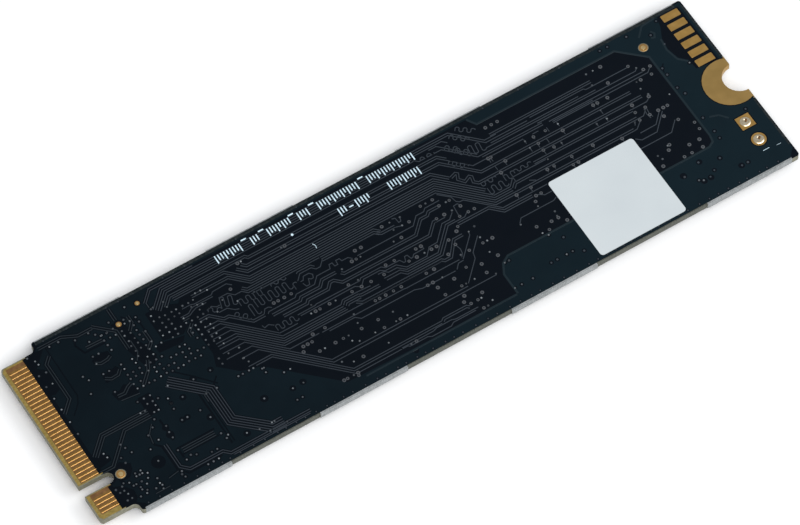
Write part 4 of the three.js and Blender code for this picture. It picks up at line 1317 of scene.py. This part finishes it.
def build_leadless(node):
    """A leadless chip: bevelled mould with a row of terminals low on each long side."""
    x0, y0, x1, y1 = node_outline(node)
    near, far = node_depth(node)
    body = Relief(FRONT_MASK_Z, -1)
    body.slab(rounded_rectangle(x0, y0, x1, y1, 0.05, 2), near + 0.03, far, 0.03)
    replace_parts(body.build(node + "_mould", MOULD), node)
    leads = Relief(FRONT_MASK_Z, -1)
    count = max(2, int((y1 - y0) / 0.5))
    for i in range(count):
        y = y0 + (i + 0.5) * (y1 - y0) / count
        for edge, out in ((x0, -0.12), (x1, 0.12)):
            a, b = sorted((edge - out, edge + out))
            leads.slab(plain_rectangle(a, y - 0.11, b, y + 0.11), near, near + 0.16, 0.03)
    leads.build(node + "_terminals", TIN)


def build_passive(node, material):
    """A chip passive along x: its body between two tinned ends that sit in solder fillets."""
    x0, y0, x1, y1 = node_outline(node)
    near, far = node_depth(node)
    body = Relief(FRONT_MASK_Z, -1)
    inset = 0.03
    outline = plain_rectangle(x0 + 0.1, y0 + inset, x1 - 0.1, y1 - inset)
    body.slab(outline, near, far - inset, 0.03)
    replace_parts(body.build(node + "_body", material), node)
    ends = Relief(FRONT_MASK_Z, -1)
    for a, b in ((x0, x0 + PASSIVE_END), (x1 - PASSIVE_END, x1)):
        ends.slab(rounded_rectangle(a, y0, b, y1, 0.05, 2), near, far, 0.05)
    for edge, out in ((x0, -0.22), (x1, 0.22)):
        a, b = sorted((edge, edge + out))
        c, d = sorted((edge, edge + 0.15 * out))
        foot = plain_rectangle(a, y0 - 0.06, b, y1 + 0.06)
        crown = plain_rectangle(c, y0 + 0.05, d, y1 - 0.05)
        ends.loft([(foot, near), (crown, near + 0.55 * (far - near))])
    ends.build(node + "_terminals", TIN)


def build_crystal():
    """A crystal: ceramic tray with a seam-welded metal lid."""
    dress("crystal_base", CRYSTAL_CERAMIC)
    x0, y0, x1, y1 = node_outline("crystal_lid")
    near, far = node_depth("crystal_lid")
    lid = Relief(FRONT_MASK_Z, -1)
    rings = [
        (rounded_rectangle(x0, y0, x1, y1, 0.15), near),
        (rounded_rectangle(x0, y0, x1, y1, 0.15), near + 0.4 * (far - near)),
        (rounded_rectangle(x0 + 0.12, y0 + 0.12, x1 - 0.12, y1 - 0.12, 0.1), near + 0.6 * (far - near)),
        (rounded_rectangle(x0 + 0.16, y0 + 0.16, x1 - 0.16, y1 - 0.16, 0.08), far),
    ]
    lid.loft(rings)
    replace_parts(lid.build("crystal_lid_pressed", NICKEL), "crystal_lid")


def build_components():
    for i in range(1, 5):
        build_package(f"flash_package_{i}_substrate", f"flash_package_{i}_mould")
    build_package("controller_substrate", "controller_mould")
    for node in ("power_management_chip", "load_switch", "configuration_memory"):
        build_leadless(node)
    for name in sorted(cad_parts):
        if name.startswith("power_inductor"):
            build_passive(name, FERRITE)
        elif "capacitor" in name:
            build_passive(name, CERAMIC)
    build_crystal()


# Round the small parts on the chip side: the gap in the pour, and the printed line on each long side.
PART_MARGIN = 0.3
PART_LINE_OUTSET = 0.1
PART_LINE_WIDTH = 0.12
PART_LINE_HEIGHT = 0.03

# Front tracks: how many, and the path of the first.
FRONT_BUNDLES = [
    (6, [(2.9, 8.6), (4.2, 8.6), (5.8, 7.0), (8.0, 7.0)]),
    (6, [(2.9, 5.6), (4.0, 5.6), (4.8, 4.8), (8.0, 4.8)]),
    (4, [(2.9, 2.2), (5.0, 2.2), (5.6, 2.8), (8.0, 2.8)]),
    (5, [(19.9, 4.9), (22.0, 4.9)]),
    (5, [(19.9, 2.9), (22.0, 2.9)]),
    (4, [(34.7, 6.0), (35.3, 6.0)]),
    (4, [(74.8, 2.4), (76.0, 1.2), (76.0, -1.2)]),
    (3, [(10.6, -4.2), (11.2, -4.2)]),
    (3, [(17.3, -3.6), (18.3, -2.6), (22.0, -2.6)]),
    (3, [(17.3, -6.6), (22.0, -6.6)]),
]


def build_front():
    """Copper relief, vias and part outlines on the chip side."""
    gaps = [bundle_band(count, path, TRACK_PITCH) for count, path in FRONT_BUNDLES]
    gaps.append(circle_points(SEAT_CENTRE_X, 0, SEAT_GAP_RADIUS, SEAT_SIDES))
    gaps.append(rounded_rectangle(*KEY_GAP, KEY_GAP_CORNER))
    outlines = Relief(FRONT_MASK_Z, -1)
    for name in sorted(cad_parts):
        if "capacitor" in name or "inductor" in name:
            x0, y0, x1, y1 = node_outline(name, PART_MARGIN)
            gaps.append(rounded_rectangle(x0, y0, x1, y1, 0.1))
            for y in (y0 - PART_LINE_OUTSET, y1 + PART_LINE_OUTSET):
                outlines.ribbon([(x0, y), (x1, y)], PART_LINE_WIDTH, 0, PART_LINE_HEIGHT)
    pour = Relief(FRONT_MASK_Z, -1)
    pour.sheet(*cut_area(POUR_OUTLINE, gaps), 0, POUR_HEIGHT)
    pour.build("copper_pour_front", MASK_POUR)
    outlines.build("part_outlines", WHITE_INK)
    tracks = Relief(FRONT_MASK_Z, -1)
    for count, path in FRONT_BUNDLES:
        for i in range(count):
            tracks.ribbon(offset_path(path, -TRACK_PITCH * i), TRACK_WIDTH, 0, TRACK_HEIGHT)
    tracks.build("tracks_front", MASK_TRACE)
    vias = Relief(FRONT_MASK_Z, -1)
    for x, y in edge_vias():
        vias.disc(x, y, VIA_RADIUS, 0, VIA_HEIGHT, VIA_BEVEL, VIA_SIDES)
    vias.build("via_pads_front", MASK_VIA)


build_pour()
build_pour_rim_highlights()
build_tracks()
build_vias()
build_ink()
build_test_pads()
build_dots()
build_header_pads()
build_collars()
build_contacts()
build_tongue()
build_mask_lips()
build_edges()
build_edge_highlights()
build_seat_wall()
build_components()
build_front()
dress("board_laminate", LAMINATE)
dress("solder_mask_back", MASK_BARE)
dress("solder_mask_front", MASK_BARE)
dress("blank_sticker", STICKER)
dress("screw_seat_ring_back", LAND_GOLD)
dress("screw_seat_ring_front", LAND_GOLD)

# ---- Studio --------------------------------------------------------------------------------


def build_floor():
    """A wide plain floor, just under the card."""
    mesh = bmesh.new()
    half = FLOOR_SIZE / 2
    corners = ((-half, -half), (half, -half), (half, half), (-half, half))
    mesh.faces.new([mesh.verts.new((x, y, 0)) for x, y in corners])
    data = bpy.data.meshes.new("floor")
    mesh.to_mesh(data)
    mesh.free()
    floor = bpy.data.objects.new("floor", data)
    bpy.context.scene.collection.objects.link(floor)
    surface = Surface("floor_paint", 0.9, specular=0.1)
    cloud = surface.noise(400.0, 2.0)
    surface.colour(surface.ramp(cloud, [(0.3, (0.9, 0.9, 0.9)), (0.7, (0.92, 0.92, 0.92))]))
    data.materials.append(surface.material)


def add_area_light(name, place, size, power):
    data = bpy.data.lights.new(name, "AREA")
    data.size = size
    data.energy = power
    light = bpy.data.objects.new(name, data)
    light.location = place
    light.rotation_euler = (-Vector(place)).to_track_quat("-Z", "Y").to_euler()
    bpy.context.scene.collection.objects.link(light)


def build_world():
    world = bpy.data.worlds.new("studio")
    world.use_nodes = True
    background = world.node_tree.nodes["Background"]
    background.inputs["Color"].default_value = WORLD_COLOUR
    background.inputs["Strength"].default_value = WORLD_STRENGTH
    bpy.context.scene.world = world


def build_camera():
    level = math.cos(CAMERA_ELEVATION)
    ahead, aside = level * math.cos(CAMERA_AZIMUTH), level * math.sin(CAMERA_AZIMUTH)
    outward = Vector((ahead, aside, math.sin(CAMERA_ELEVATION)))
    right = Vector((0, 0, 1)).cross(outward).normalized()
    up = outward.cross(right)
    rolled_right = right * math.cos(CAMERA_ROLL) - up * math.sin(CAMERA_ROLL)
    rolled_up = outward.cross(rolled_right)
    turn = Matrix((rolled_right, rolled_up, outward)).transposed()
    data = bpy.data.cameras.new("camera")
    data.lens = CAMERA_LENS
    data.sensor_width = SENSOR_WIDTH
    data.clip_start = 0.01
    data.clip_end = 50.0
    camera = bpy.data.objects.new("camera", data)
    camera.matrix_world = Matrix.Translation(CAMERA_AIM + outward * CAMERA_DISTANCE) @ turn.to_4x4()
    bpy.context.scene.collection.objects.link(camera)
    bpy.context.scene.camera = camera


build_floor()
build_world()
for light_values in LIGHTS:
    add_area_light(*light_values)
build_camera()
bpy.context.scene.view_settings.view_transform = "Standard"
